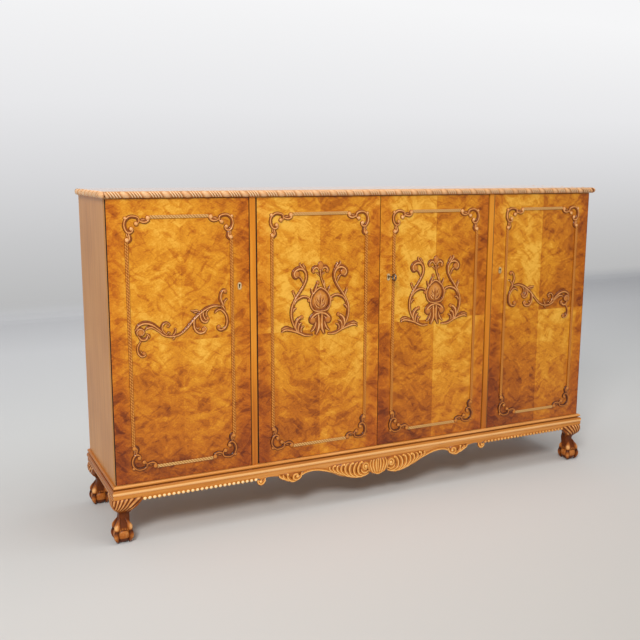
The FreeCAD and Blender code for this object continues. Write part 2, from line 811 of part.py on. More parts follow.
def door_leaves(name, door):
    """The two hinge leaves let into a door's ends."""
    leaves = [hinge_plan(f"{name}_{end}_leaf", door, end, "door_leaf") for end in ENDS]
    return together(name + "_hinge_leaves", leaves)


def door_blank(name, door):
    """A flat door whose front corner is rounded about the hinge axis."""
    inset = size.hinge_inset
    bend = inset * (1 - math.sqrt(0.5))
    edge, hinge = door.edge, door.hinge
    steps = [
        ((edge, door_back),),
        ((hinge, door_back),),
        ((hinge, door_front + inset),),
        ((hinge + door.turn * bend, door_front + bend), (hinge + door.turn * inset, door_front)),
    ]
    return padded(name + "_blank", "XY_Plane", (edge, door_front), steps, door_high - door_low,
                  (as_size(0), as_size(0), door_low))


def span(door, near, far):
    """Two places along a door's width, measured inwards from its free edge."""
    ends = (door.edge - door.turn * near, door.edge - door.turn * far)
    return ends if door.turn == -1 else ends[::-1]


key_z = base_top + size.key_height
lock_front = door_back - size.lock_depth
chamber_front = lock_front + size.lock_wall
chamber_back = door_back - size.lock_wall
bolt_front = (chamber_front + chamber_back) / 2 - size.bolt_width / 2
bolt_low = key_z + size.bolt_lift


def key_x(door):
    """The key's axis, set back from the door's free edge."""
    return door.edge - door.turn * size.lock_backset


def keyhole(name, door, front, back):
    """A round hole with a slot below it, from front to back."""
    half = size.keyhole_slot_width / 2
    x = key_x(door)
    drop = (key_z - size.keyhole_slot_drop, key_z)
    return joined(name, [
        rod(name + "_round", size.keyhole_radius, back - front, BACKWARDS, (x, front, key_z)),
        board(name + "_slot", (x - half, x + half), (front, back), drop),
    ])


def strike(name, door, face):
    """The pocket that a thrown lock bolt enters, beyond the gap in front of a facing edge."""
    room = size.strike_clearance
    x = (face - size.overrun, face + size.strike_depth)
    if door.turn == -1:
        x = (face - size.strike_depth, face + size.overrun)
    y = (bolt_front - room, bolt_front + size.bolt_width + room)
    return board(name, x, y, (bolt_low - room, bolt_low + size.bolt_height + room))


def lock_recess(name, door):
    """The mortise for a lock, open at the door's back and at its free edge."""
    room = size.recess_clearance
    half = size.lock_height / 2 + room
    return board(name, span(door, -size.overrun, size.lock_length + room),
                 (lock_front - room, door_back + size.overrun), (key_z - half, key_z + half))


def lock_case(name, door):
    """A hollow lock with a slot for its bolt and a keyhole in its front plate."""
    wall = size.lock_wall
    half = size.lock_height / 2
    room = size.bolt_clearance
    box = board(name + "_box", span(door, as_size(0), size.lock_length), (lock_front, door_back),
                (key_z - half, key_z + half))
    chamber = board(name + "_chamber", span(door, wall, size.lock_length - wall),
                    (chamber_front, chamber_back), (key_z - half + wall, key_z + half - wall))
    slot = board(name + "_bolt_slot", span(door, -size.overrun, wall + size.overrun),
                 (bolt_front - room, bolt_front + size.bolt_width + room),
                 (bolt_low - room, bolt_low + size.bolt_height + room))
    hole = keyhole(name + "_keyhole", door, lock_front - size.overrun, chamber_front + wall)
    return without(name, box, [joined(name + "_inside", [chamber, slot, hole])])


def lock_bolt(name, door):
    """A sliding bolt with the talon that the key's bit pushes."""
    y = (bolt_front, bolt_front + size.bolt_width)
    bar = board(name + "_bar", span(door, size.bolt_setback, size.bolt_setback + size.bolt_length), y,
                (bolt_low, bolt_low + size.bolt_height))
    near = size.lock_backset - size.talon_offset - size.talon_width
    talon = board(name + "_talon", span(door, near, near + size.talon_width), y,
                  (key_z - size.talon_drop, bolt_low + size.bolt_height))
    return joined(name, [bar, talon])


def escutcheon(name, door):
    """A thin long-oval plate round the keyhole."""
    half = size.escutcheon_width / 2
    x = key_x(door)
    middle = key_z - size.keyhole_slot_drop / 2 + size.keyhole_radius / 2
    low = middle - size.escutcheon_height / 2 + half
    high = middle + size.escutcheon_height / 2 - half
    steps = [((x, high + half), (x - half, high)), ((x - half, low),), ((x, low - half), (x + half, low))]
    plate = padded(name + "_plate", "XZ_Plane", (x + half, high), steps, size.escutcheon_thickness,
                   (as_size(0), door_front, as_size(0)))
    mouth = door_front - size.escutcheon_thickness - size.overrun
    hole = keyhole(name + "_hole", door, mouth, door_front + size.overrun)
    return without(name, plate, [hole])


def locked_door(name, door):
    """A door with its lock mortise, keyhole and hinge recesses."""
    tools = [hinge_plan(f"{name}_{end}_recess", door, end, "door_recess") for end in ENDS]
    tools.append(lock_recess(name + "_lock_recess", door))
    tools.append(keyhole(name + "_keyhole", door, door_front - size.overrun, lock_front))
    return without(name + "_panel", door_blank(name, door), tools)


def key_piece():
    """A key with a ring bow, a collar, a shank and a bit, its bow upright."""
    x = key_x(CENTRE_RIGHT_DOOR)
    bow_middle = door_front - size.key_reach + size.key_bow_radius
    ring = size.key_bow_radius - size.key_bow_wire_radius
    bow = doc.addObject("Part::Torus", "key_bow")
    bow.Placement = Placement(Vector(), Rotation(UP, RIGHT))
    bind(bow, "Radius1", ring)
    bind(bow, "Radius2", size.key_bow_wire_radius)
    place(bow, x, bow_middle, key_z)
    neck = bow_middle + ring
    tip = chamber_back - size.key_bit_clearance
    shank = rod("key_shank", size.key_shank_radius, tip - neck, BACKWARDS, (x, neck, key_z))
    collar = rod("key_collar", size.key_collar_radius, size.key_collar_length, BACKWARDS,
                 (x, neck + size.key_bow_wire_radius, key_z))
    half = size.key_bit_width / 2
    bit = board("key_bit", (x - half, x + half), (chamber_front + size.key_bit_clearance, tip),
                (key_z - size.key_bit_drop, key_z))
    return joined("key", [bow, shank, collar, bit])


# Shoot bolts behind the free edge of the second door

shoot_x = CENTRE_LEFT_DOOR.edge - size.shoot_edge_distance
shoot_y = door_back + size.shoot_standoff


def shoot_hole(name, face, turn):
    """The hole in the case's roof or floor that a shoot bolt enters."""
    radius = size.shoot_radius + size.shoot_hole_clearance
    depth = size.shoot_hole_depth + size.overrun
    return rod(name + "_shoot_hole", radius, depth, UP * turn, (shoot_x, shoot_y, face - turn * size.overrun))


def shoot_bolt(name, face, turn):
    """A round bolt with a finger knob, drawn back from the face that it shoots into."""
    tip = face - turn * size.shoot_end_gap
    bar = rod(name + "_bar", size.shoot_radius, size.shoot_length, UP * -turn, (shoot_x, shoot_y, tip))
    middle = tip - turn * (size.shoot_length * SHOOT_KNOB_SHARE)
    knob = rod(name + "_knob", size.shoot_knob_radius, size.shoot_knob_length + size.shoot_radius, BACKWARDS,
               (shoot_x, shoot_y, middle))
    return joined(name, [bar, knob])


def shoot_plate(name, face, turn):
    """The back plate of a shoot bolt with its two guides."""
    half = size.shoot_plate_width / 2
    x = (shoot_x - half, shoot_x + half)
    start = face - turn * size.shoot_end_gap * 2
    far = start - turn * size.shoot_plate_length
    plate_y = (door_back, door_back + size.shoot_plate_thickness)
    guide_y = (door_back, shoot_y + size.shoot_radius + size.shoot_plate_thickness)
    parts = [board(name + "_plate", x, plate_y, rising(start, -turn, size.shoot_plate_length))]
    for end, way in ((start, -turn), (far, turn)):
        parts.append(board(name + "_guide", x, guide_y, rising(end, way, size.shoot_guide_length)))
    bore = rod(name + "_bore", size.shoot_radius + size.shoot_guide_clearance,
               size.shoot_plate_length + size.overrun * 2, UP * -turn,
               (shoot_x, shoot_y, start + turn * size.overrun))
    return without(name, joined(name + "_body", parts), [bore])


def rising(end, way, length):
    """The low and high end of a piece that starts at one end and runs upwards or downwards."""
    other = end + way * length
    return (end, other) if way == 1 else (other, end)


# Applied mouldings and carved ornaments

def smooth_arcs(points):
    """Tangent arcs through the points, two to each span."""
    gaps = [b - a for a, b in zip(points, points[1:])]
    ways = [Vector(gap).normalize() for gap in gaps]
    lengths = [gap.Length for gap in gaps]
    tangents = []
    for before, after, short, long in zip(ways, ways[1:], lengths, lengths[1:]):
        tangents.append((before * long + after * short).normalize())
    first = ways[0] * (2 * ways[0].dot(tangents[0])) - tangents[0]
    last = ways[-1] * (2 * ways[-1].dot(tangents[-1])) - tangents[-1]
    tangents = [first] + tangents + [last]
    edges = []
    for a, b, leave, arrive in zip(points, points[1:], tangents, tangents[1:]):
        across = b - a
        turn = 2 * (1 - leave.dot(arrive))
        ahead = 2 * across.dot(leave + arrive)
        reach = across.dot(across) / ahead
        if turn > NEARLY_ZERO:
            reach = (math.sqrt(ahead ** 2 + 4 * turn * across.dot(across)) - ahead) / (2 * turn)
        meeting = (a + leave * reach + b - arrive * reach) * 0.5
        edges += [tangent_arc(a, leave, meeting), tangent_arc(b, arrive * -1, meeting, True)]
    return edges


def tangent_arc(start, way, end, backwards=False):
    """An arc, or a line where it would be straight, that leaves its start along a way."""
    chord = end - start
    along = Vector(chord).normalize()
    aside = way - along * way.dot(along)
    if aside.Length < NEARLY_ZERO:
        return Part.makeLine(end, start) if backwards else Part.makeLine(start, end)
    half_angle = math.acos(max(-1.0, min(1.0, way.dot(along)))) / 2
    bulge = start + chord * 0.5 + aside.normalize() * (chord.Length / 2 * math.tan(half_angle))
    ends = (end, bulge, start) if backwards else (start, bulge, end)
    return Part.Arc(*ends).toShape()


def stem(points, radius):
    """A round stem along a smooth line through the points."""
    line = Part.Wire(smooth_arcs(points))
    first = line.Edges[0]
    begin = first.FirstParameter
    ring = Part.Wire(Part.makeCircle(radius, first.valueAt(begin), first.tangentAt(begin)))
    return line.makePipeShell([ring], True, False)


def boss(radius, point):
    """A half ball that stands proud of the door."""
    return Part.makeSphere(radius, point, BACKWARDS * -1, 0, 90, 360)


def spread(shares, width, height):
    """Shares of a width and a height as points on a door's face."""
    return [Vector(x * float(width), 0, z * float(height)) for x, z in shares]


def half_round(solids):
    """Fuse round stems and keep the half that stands proud of the door."""
    whole = solids[0].multiFuse(solids[1:]) if len(solids) > 1 else solids[0]
    room = whole.BoundBox.DiagonalLength
    corner = whole.BoundBox.Center - Vector(room, 0, room)
    wood = Part.makeBox(2 * room, room, 2 * room, Vector(corner.x, 0, corner.z))
    return whole.cut(wood)


def corner_shape():
    """A C scroll with rolled ends and two links, for an upper left corner."""
    width, height = size.corner_width, -size.corner_height
    radius = float(size.corner_radius)
    bud = float(size.corner_bud_radius)
    solids = [stem(spread(CORNER_SCROLL_SHARES, width, height), radius)]
    for shares in CORNER_LINK_SHARES:
        points = spread(shares, width, height)
        solids += [stem(points, radius), boss(bud, points[-1])]
    scroll_ends = (CORNER_SCROLL_SHARES[0], CORNER_SCROLL_SHARES[-1])
    solids += [boss(bud, point) for point in spread(scroll_ends, width, height)]
    return half_round(solids)


def lyre_shape():
    """Lyre of scrolls round an oval cartouche, with a lily above and a shell below."""
    half, height = size.lyre_width / 2, size.lyre_height
    thick, thin, eye = float(size.stem_radius), float(size.twig_radius), float(size.eye_radius)
    solids = [stem(spread(shares, half, height), thick) for shares in LYRE_STEM_SHARES]
    solids += [stem(spread(shares, half, height), thin) for shares in LYRE_TWIG_SHARES]
    solids += [boss(eye, point) for point in spread(LYRE_EYE_SHARES, half, height)]
    solids += [solid.mirror(Vector(), RIGHT) for solid in solids]
    middle_share, wide_share, tall_share = CARTOUCHE_SHARES
    middle = Vector(0, 0, float(height) * middle_share)
    tall, wide = float(height) * tall_share, float(half) * wide_share
    oval = Part.Ellipse(middle + Vector(0, 0, tall), middle + Vector(wide, 0, 0), middle).toShape()
    plate = Part.Face(Part.Wire(oval)).extrude(BACKWARDS * -float(size.cartouche_thickness))
    begin = oval.valueAt(oval.FirstParameter)
    way = oval.tangentAt(oval.FirstParameter)
    ring = Part.Wire(Part.makeCircle(float(size.cartouche_rim_radius), begin, way))
    rim = Part.Wire(oval).makePipeShell([ring], True, False)
    petal = spread(LYRE_PETAL_SHARES, half, height)
    return half_round(solids + [plate, rim, stem(petal, eye), boss(eye, petal[-1])])


def branch_shape():
    """A leafy S scroll that rises towards the cupboard's middle, for the left door."""
    half, height = size.branch_width / 2, size.branch_height
    thick, thin, eye = float(size.stem_radius), float(size.twig_radius), float(size.eye_radius)
    solids = [stem(spread(shares, half, height), thick) for shares in BRANCH_STEM_SHARES]
    solids += [stem(spread(shares, half, height), thin) for shares in BRANCH_TWIG_SHARES]
    solids += [boss(eye, point) for point in spread(BRANCH_EYE_SHARES, half, height)]
    return half_round(solids)


def reeded_strip(name, length, upright, x, z):
    """A strip of three reeds, lying or standing, with its middle at one end's place."""
    reed = size.strip_width / (2 * REEDS)
    half = size.strip_width / 2
    base = size.strip_base
    back = as_size(0)

    def profile(across, out):
        return (across, -out) if upright else (-out, across)

    steps = [(profile(half, back),), (profile(half, base),)]
    for index in range(REEDS):
        crest = half - reed * (2 * index + 1)
        steps.append((profile(crest, base + reed), profile(crest - reed, base)))
    role = "XY_Plane" if upright else "YZ_Plane"
    return padded(name, role, profile(-half, back), steps, length, (x, door_front, z))


def applied_frame(name, door, width, corner):
    """Four reeded strips and four corner scrolls round one door's face."""
    middle = (door.hinge + door.edge) / 2
    left = middle - width / 2
    low = base_top + size.frame_panel_lift
    high = low + size.frame_panel_height
    lying = width - size.corner_width * 2
    standing = size.frame_panel_height - size.corner_height * 2
    pieces = []
    for z in (low + size.strip_inset_z, high - size.strip_inset_z):
        pieces.append(reeded_strip(name + "_lying_strip", lying, False, left + size.corner_width, z))
    for x in (left + size.strip_inset_x, left + width - size.strip_inset_x):
        pieces.append(reeded_strip(name + "_standing_strip", standing, True, x, low + size.corner_height))
    flipped = corner.mirror(Vector(), RIGHT)
    for shape, z in ((corner, high), (corner.mirror(Vector(), UP), low)):
        pieces.append(carving(name + "_corner", shape, left, door_front, z))
    for shape, z in ((flipped, high), (flipped.mirror(Vector(), UP), low)):
        pieces.append(carving(name + "_corner", shape, left + width, door_front, z))
    return together(name, pieces)


# The doors with what they carry

def outer_doors(corner):
    """The left door and its mirror image on the right."""
    door = LEFT_DOOR
    middle = (door.hinge + door.edge) / 2
    both_sides("door_panel", locked_door("left_door", door))
    both_sides("door_moulding", applied_frame("left_door_moulding", door, size.outer_frame_width, corner))
    ornament = carving("left_door_ornament", branch_shape(), middle, door_front, base_top + size.branch_lift)
    both_sides("door_ornament", ornament)
    both_sides("door_hinge_leaves", door_leaves("left_door", door))
    both_sides("door_lock_case", lock_case("left_door_lock_case", door))
    both_sides("door_lock_bolt", lock_bolt("left_door_lock_bolt", door))
    both_sides("door_escutcheon", escutcheon("left_door_escutcheon", door))


def centre_doors(corner):
    """The two middle doors: the right one locks into the edge of the left one, which shoots up and down."""
    lyre = lyre_shape()
    for name, door in hung_doors()[1:3]:
        middle = (door.hinge + door.edge) / 2
        moulding = applied_frame(name + "_moulding", door, size.inner_frame_width, corner)
        node(name + "_moulding", moulding)
        ornament = carving(name + "_ornament", lyre, middle, door_front, base_top + size.lyre_lift)
        node(name + "_ornament", ornament)
        node(name + "_hinge_leaves", door_leaves(name, door))
    left, right = "centre_left_door", "centre_right_door"
    tools = [hinge_plan(f"{left}_{end}_recess", CENTRE_LEFT_DOOR, end, "door_recess") for end in ENDS]
    tools.append(strike("centre_strike", CENTRE_RIGHT_DOOR, CENTRE_LEFT_DOOR.edge))
    node(left + "_panel", without(left + "_panel", door_blank(left, CENTRE_LEFT_DOOR), tools))
    ends = (("top", roof_of_case, 1), ("bottom", floor_of_case, -1))
    plates = [shoot_plate(end + "_shoot_plate", face, turn) for end, face, turn in ends]
    node("shoot_bolt_plates", together("shoot_bolt_plates", plates))
    for end, face, turn in ends:
        node(end + "_shoot_bolt", shoot_bolt(end + "_shoot_bolt", face, turn))
    node(right + "_panel", locked_door(right, CENTRE_RIGHT_DOOR))
    node(right + "_lock_case", lock_case(right + "_lock_case", CENTRE_RIGHT_DOOR))
    node(right + "_lock_bolt", lock_bolt(right + "_lock_bolt", CENTRE_RIGHT_DOOR))
    node(right + "_escutcheon", escutcheon(right + "_escutcheon", CENTRE_RIGHT_DOOR))
    node("key", key_piece())


case_boards()
shelves()
top_and_base()
front_apron()
feet()
hinges()
corner_scroll = corner_shape()
outer_doors(corner_scroll)
centre_doors(corner_scroll)
doc.recompute()

# Nothing is written unless every object came out whole
for item in doc.Objects:
    if "Invalid" in item.State or "Error" in item.State:
        raise RuntimeError(f"{item.Label} failed: {item.State}")
for item in NODES:
    if item.Shape.isNull() or not item.Shape.isValid():
        raise RuntimeError(f"{item.Label} has no valid shape")
os.makedirs("parts", exist_ok=True)
for item in NODES:
    item.Shape.exportStep(f"parts/{item.Label}.step")
print(f"{len(NODES)} pieces written")
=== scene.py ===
import json
import math

import bmesh
import bpy
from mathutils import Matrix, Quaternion, Vector

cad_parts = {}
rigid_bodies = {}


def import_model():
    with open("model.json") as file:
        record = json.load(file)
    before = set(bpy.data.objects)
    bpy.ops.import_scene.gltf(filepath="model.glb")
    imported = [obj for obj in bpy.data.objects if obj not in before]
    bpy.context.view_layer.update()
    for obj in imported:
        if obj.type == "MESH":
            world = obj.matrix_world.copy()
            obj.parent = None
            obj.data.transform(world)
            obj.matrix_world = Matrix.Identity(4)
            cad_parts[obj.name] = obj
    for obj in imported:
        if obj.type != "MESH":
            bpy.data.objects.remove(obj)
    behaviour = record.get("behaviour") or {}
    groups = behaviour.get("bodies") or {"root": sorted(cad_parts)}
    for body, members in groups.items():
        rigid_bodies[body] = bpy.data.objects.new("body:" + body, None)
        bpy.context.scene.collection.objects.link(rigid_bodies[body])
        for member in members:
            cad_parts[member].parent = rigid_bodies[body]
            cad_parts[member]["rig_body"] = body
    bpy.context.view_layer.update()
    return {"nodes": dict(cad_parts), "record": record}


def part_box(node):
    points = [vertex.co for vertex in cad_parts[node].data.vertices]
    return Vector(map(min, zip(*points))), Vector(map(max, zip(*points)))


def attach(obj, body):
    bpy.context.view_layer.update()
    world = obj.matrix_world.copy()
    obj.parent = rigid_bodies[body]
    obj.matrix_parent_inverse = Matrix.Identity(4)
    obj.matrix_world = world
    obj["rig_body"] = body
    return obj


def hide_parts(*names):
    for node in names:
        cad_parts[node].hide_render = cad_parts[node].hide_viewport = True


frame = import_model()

NODES = frame["nodes"]
SLOTS = {part["node"]: part["material_slot"] for part in frame["record"]["subparts"]}
MM = 0.001
CASE_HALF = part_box("right_side")[1].x
CASE_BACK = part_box("right_side")[1].y
DOOR_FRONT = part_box("left_door_panel")[0].y
REAR_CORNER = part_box("left_back_foot")[1].y - (DOOR_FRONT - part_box("left_front_foot")[0].y)
BACK_SEAM = (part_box("right_partition")[0].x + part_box("right_partition")[1].x) / 2


def hue(red, green, blue):
    """A colour as it is seen, 0 to 255, made the linear colour that a shader takes."""
    seen = [value / 255 for value in (red, green, blue)]
    return [v / 12.92 if v < 0.04045 else ((v + 0.055) / 1.055) ** 2.4 for v in seen] + [1.0]


def shades(*stops):
    """Stops of a colour ramp: a place from 0 to 1, and a colour as it is seen."""
    return [(place, hue(*colour)) for place, *colour in stops]


def in_scene(thing):
    bpy.context.scene.collection.objects.link(thing)
    return thing


# Finishes

def math_node(operation):
    """A method that adds one Math node to its field's tree."""
    def method(*terms):
        return terms[0].workshop.node("ShaderNodeMath", {"operation": operation}, dict(enumerate(terms)))
    return method


class Field:
    """A value on its way through a node tree; sums on it add Math nodes."""

    def __init__(self, workshop, socket):
        self.workshop = workshop
        self.socket = socket

    def __rsub__(self, other):
        return self.workshop.node("ShaderNodeMath", {"operation": "SUBTRACT"}, {0: other, 1: self})

    __add__ = __radd__ = math_node("ADD")
    __sub__ = math_node("SUBTRACT")
    __mul__ = __rmul__ = math_node("MULTIPLY")
    __truediv__ = math_node("DIVIDE")
    __abs__ = math_node("ABSOLUTE")
    __gt__ = math_node("GREATER_THAN")
    at_least = math_node("MAXIMUM")
    fraction = math_node("FRACT")
    root = math_node("SQRT")
    wave = math_node("SINE")


class Workshop:
    """A node tree, and the one way to add nodes to it."""

    def node(self, kind, settings, values, output=0):
        made = self.tree.nodes.new(kind)
        for name, setting in settings.items():
            if name == "stops":
                self.set_stops(made.color_ramp, setting)
            else:
                setattr(made, name, setting)
        for socket, value in values.items():
            if isinstance(value, Field):
                self.tree.links.new(value.socket, made.inputs[socket])
            else:
                made.inputs[socket].default_value = value
        return Field(self, made.outputs[output])

    def set_stops(self, ramp, stops):
        while len(ramp.elements) < len(stops):
            ramp.elements.new(1.0)
        for element, (position, colour) in zip(ramp.elements, stops):
            element.position = position
            element.color = colour


class Finish(Workshop):
    """A material round its principled shader."""

    def __init__(self, name, constants):
        self.material = bpy.data.materials.new(name)
        self.material.use_nodes = True
        self.tree = self.material.node_tree
        self.shader = self.tree.nodes["Principled BSDF"]
        for socket, value in constants.items():
            self.shader.inputs[socket].default_value = value

    def place(self):
        """Where a point of the piece is, in metres from the cupboard's origin."""
        spot = self.node("ShaderNodeTexCoord", {}, {}, "Object")
        return [self.node("ShaderNodeSeparateXYZ", {}, {0: spot}, axis) for axis in range(3)]

    def noise(self, x, y, z, detail=2.0, roughness=0.5, distortion=0.0):
        spot = self.node("ShaderNodeCombineXYZ", {}, {0: x, 1: y, 2: z})
        values = {"Vector": spot, "Scale": 1.0, "Detail": detail, "Roughness": roughness,
                  "Distortion": distortion}
        return self.node("ShaderNodeTexNoise", {}, values)

    def speckle(self, spot, scale, detail):
        """Noise of one size in every direction."""
        return self.noise(*[value * scale for value in spot], detail)

    def fade(self, value, low, high):
        values = {"Value": value, "From Min": low, "From Max": high}
        return self.node("ShaderNodeMapRange", {"interpolation_type": "SMOOTHSTEP"}, values)

    def ramp(self, value, stops):
        return self.node("ShaderNodeValToRGB", {"stops": stops}, {0: value})

    def tint(self, factor, under, over, blend="MIX"):
        settings = {"data_type": "RGBA", "blend_type": blend}
        return self.node("ShaderNodeMix", settings, {0: factor, 6: under, 7: over}, 2)

    def paint(self, socket, field):
        self.tree.links.new(field.socket, self.shader.inputs[socket])

    def floor_shade(self, height):
        """How near the floor a height is, from the middle of the doors down: how strongly the painted shade
        towards the floor darkens it.
        """
        return self.fade(FLOOR_SHADE_TOP - height, 0.0, FLOOR_SHADE_DEPTH)

    def crest(self):
        """The painted light that each carved point keeps as its tone: painted shade in the hollows, painted
        highlight on the crests.
        """
        return self.node("ShaderNodeAttribute", {"attribute_name": "tone"}, {}, "Fac")

    def done(self, colour, roughness, height, distance, strength):
        """Paints colour, roughness and fine relief, and gives the finished material."""
        self.paint("Base Color", colour)
        self.paint("Roughness", roughness)
        values = {"Height": height, "Distance": distance, "Strength": strength}
        self.paint("Normal", self.node("ShaderNodeBump", {}, values))
        return self.material


# the height where doors, stiles and carving start to darken towards the floor, in painted shade that is
# partly the wood's own darker tone, and how far it takes
FLOOR_SHADE_TOP = 0.68
FLOOR_SHADE_DEPTH = 0.48
LACQUER = {"Coat Weight": 0.2, "Coat Roughness": 0.12, "Specular IOR Level": 0.3}
HIGH_POLISH = {"Coat Weight": 0.9, "Coat Roughness": 0.06, "Specular IOR Level": 0.5}
DULL = {"Coat Weight": 0.08, "Coat Roughness": 0.2, "Specular IOR Level": 0.16}
GLINTING = {"Coat Weight": 0.5, "Coat Roughness": 0.14, "Specular IOR Level": 0.16}
AMBER = shades((0.0, 112, 48, 4), (0.25, 158, 80, 8), (0.5, 196, 112, 16), (0.75, 223, 147, 30),
               (1.0, 244, 182, 66))
SIDE_STOPS = shades((0.0, 150, 88, 30), (0.5, 204, 138, 70), (1.0, 230, 172, 104))
STILE_STOPS = shades((0.0, 174, 90, 12), (0.5, 220, 134, 28), (1.0, 246, 172, 58))
BASE_STOPS = shades((0.0, 150, 76, 16), (0.5, 208, 132, 50), (1.0, 252, 194, 124))
INNER_STOPS = shades((0.0, 168, 118, 70), (0.5, 200, 152, 98), (1.0, 222, 182, 132))
BACK_STOPS = shades((0.0, 118, 84, 52), (0.5, 196, 158, 110), (1.0, 224, 192, 146))
CARVED_STOPS = shades((0.0, 58, 24, 6), (0.3, 126, 59, 14), (0.55, 176, 98, 30), (0.8, 212, 137, 54),
                      (1.0, 248, 192, 132))
GADROON_STOPS = shades((0.0, 112, 60, 22), (0.4, 216, 154, 98), (0.75, 246, 200, 150), (1.0, 255, 236, 200))
APRON_STOPS = shades((0.0, 128, 60, 10), (0.4, 208, 124, 36), (0.8, 242, 172, 80), (1.0, 254, 208, 132))
BEAD_STOPS = shades((0.0, 118, 54, 10), (0.4, 212, 128, 38), (0.8, 252, 200, 118), (1.0, 255, 226, 176))
FOOT_STOPS = shades((0.0, 50, 20, 4), (0.4, 112, 52, 14), (0.7, 178, 100, 36), (1.0, 242, 182, 112))
# reeded strips: the lying ones carry a paler painted highlight, as if lit from above, than the standing ones
LIT_REED_STOPS = shades((0.0, 122, 68, 22), (0.5, 202, 144, 74), (1.0, 242, 200, 134))
SHADED_REED_STOPS = shades((0.0, 98, 46, 10), (0.5, 182, 106, 36), (1.0, 230, 162, 78))
# the dark line of a seam between back boards, and painted shade in the gap beside each stile
DARK_SEAM_AND_GAP_SHADE = hue(70, 38, 14)
# painted shade on the edges where the middle doors meet; door edges elsewhere keep their own pale wood
GAP_SHADE_EDGE = hue(88, 50, 26)
PALE_EDGE = hue(204, 144, 84)
# painted shade inside keyholes through a door
BORE_SHADE = hue(20, 12, 8)
# painted shade behind a keyhole plate's face, in its keyhole and round its edge
PLATE_SHADE = hue(30, 22, 14)
JOINT_HALF = 0.0012
RAIL_FOOT = 0.168
RAIL_HEIGHT = 0.032
# depths within which a point counts as on a face, in metres
FACE_SKIN = 0.0005
EDGE_SKIN = 0.0006
PLATE_SKIN = 0.0004
# distances from a door's middle and from the case's middle, in metres
FRAME_INSIDE = 0.185
MEETING_EDGES = 0.01
# painted light and shade across the base rails' moulding, by height: a painted highlight on the lower fillet
# and painted shade in the groove; the side rails are in painted shade all over
FRONT_RAIL_LIGHT_AND_SHADE = [(spot, [shade] * 3 + [1.0]) for spot, shade in
                ((0.0, 1.1), (0.28, 1.05), (0.42, 0.32), (0.7, 0.25), (0.84, 0.6), (1.0, 0.64))]
SIDE_RAIL_SHADE = [(spot, [shade] * 3 + [1.0]) for spot, shade in
                ((0.0, 0.34), (0.28, 0.3), (0.42, 0.1), (0.7, 0.08), (0.84, 0.24), (1.0, 0.3))]
# the strength of the painted sheen that makes two quarters of a door lighter than the other two, and how much
# darker the door is than the others
DOOR_VENEERS = {"left_door": (0.09, 0.02), "centre_left_door": (0.17, -0.05),
                "centre_right_door": (0.27, -0.045), "right_door": (0.26, 0.035)}


def flame_veneer(name, middle, half, quarter_sheen, depth):
    """Quartered flame birch on a door: mottled, with smoky strokes that fall towards the middle joint."""
    finish = Finish(name, LACQUER)
    x, y, z = finish.place()
    across = x - middle.x
    rise = z - middle.z
    out = abs(across)
    lower = 1 - (rise > 0)
    leaf = lower * 3.7 + middle.x * 11
    sway = finish.noise(across * 8, leaf, z * 8, 2) - 0.5
    along = out * 0.85 + z * 0.53 + sway * 0.06
    beside = z * 0.85 - out * 0.53 + sway * 0.1
    clouds = finish.noise(along * 5, leaf, beside * 7, 2)
    mottle = finish.noise(along * 14, leaf + 1.3, beside * 22, 4, 0.6, 0.2)
    strokes = finish.noise(along * 15, leaf + 2.3, beside * 38, 2, 0.5, 0.3)
    smoke = finish.fade(strokes, 0.54, 0.62)
    wedges = finish.noise(across * 26, leaf + 5.9, (z + out * 0.5) * 60, 2, 0.5, 0.3)
    wisps = finish.fade(wedges, 0.57, 0.66)
    gleam = finish.fade(wedges, 0.44, 0.32)
    folds = finish.noise(along * 8, leaf + 4.1, beside * 20, 1) * 6
    flecks = finish.noise(x * 150, y * 150, z * 210, 4, 0.7)
    pores = finish.noise(x * 40, y * 40, z * 900, 2)
    # painted sheen: two opposite quarters of the book-matched veneer are lighter than the other two, less so
    # on the lower half
    sheen_leaf = abs((across > 0) - (rise > 0))
    edge = finish.fade(out, FRAME_INSIDE - 0.01, FRAME_INSIDE + 0.03)
    # painted shade towards the floor, partly the veneer's own darker tone
    foot = finish.floor_shade(z)
    rim = 1 - (abs(y - middle.y) > half.y - FACE_SKIN)
    # the walls of keyholes through the door, in painted shade
    shaded_bore = rim * (1 - (out > half.x - EDGE_SKIN)) * (1 - (abs(rise) > half.z - EDGE_SKIN))
    tone = clouds * 0.55 + mottle * 0.78 + flecks * 0.6 + folds.fraction() * 0.1
    tone = tone - smoke * 0.17 - wisps * 0.16 + gleam * 0.1
    tone = tone + (sheen_leaf - 0.5) * (1 - lower * 0.15) * quarter_sheen
    tone = tone - edge * 0.13 - foot * 0.3 - 0.285 - depth
    colour = finish.ramp(tone, AMBER)
    colour = finish.tint(edge * 0.3 + foot * 0.2, colour, hue(232, 176, 120), "MULTIPLY")
    grain = finish.noise(x * 90, y * 90, z * 2.5, 4, 0.6, 0.4)
    plain = finish.ramp(grain * 0.9 + 0.05, INNER_STOPS)
    colour = finish.tint(y > middle.y + half.y - FACE_SKIN, colour, plain)
    # painted shade on the edges where the middle doors meet
    colour = finish.tint(rim, colour, finish.tint(abs(x) > MEETING_EDGES, GAP_SHADE_EDGE, PALE_EDGE))
    colour = finish.tint(shaded_bore, colour, BORE_SHADE)
    finish.paint("Coat Weight", 0.2 - rim * 0.2)
    return finish.done(colour, 0.36 - flecks * 0.1 + rim * 0.6, pores + flecks, 0.00006, 0.5)


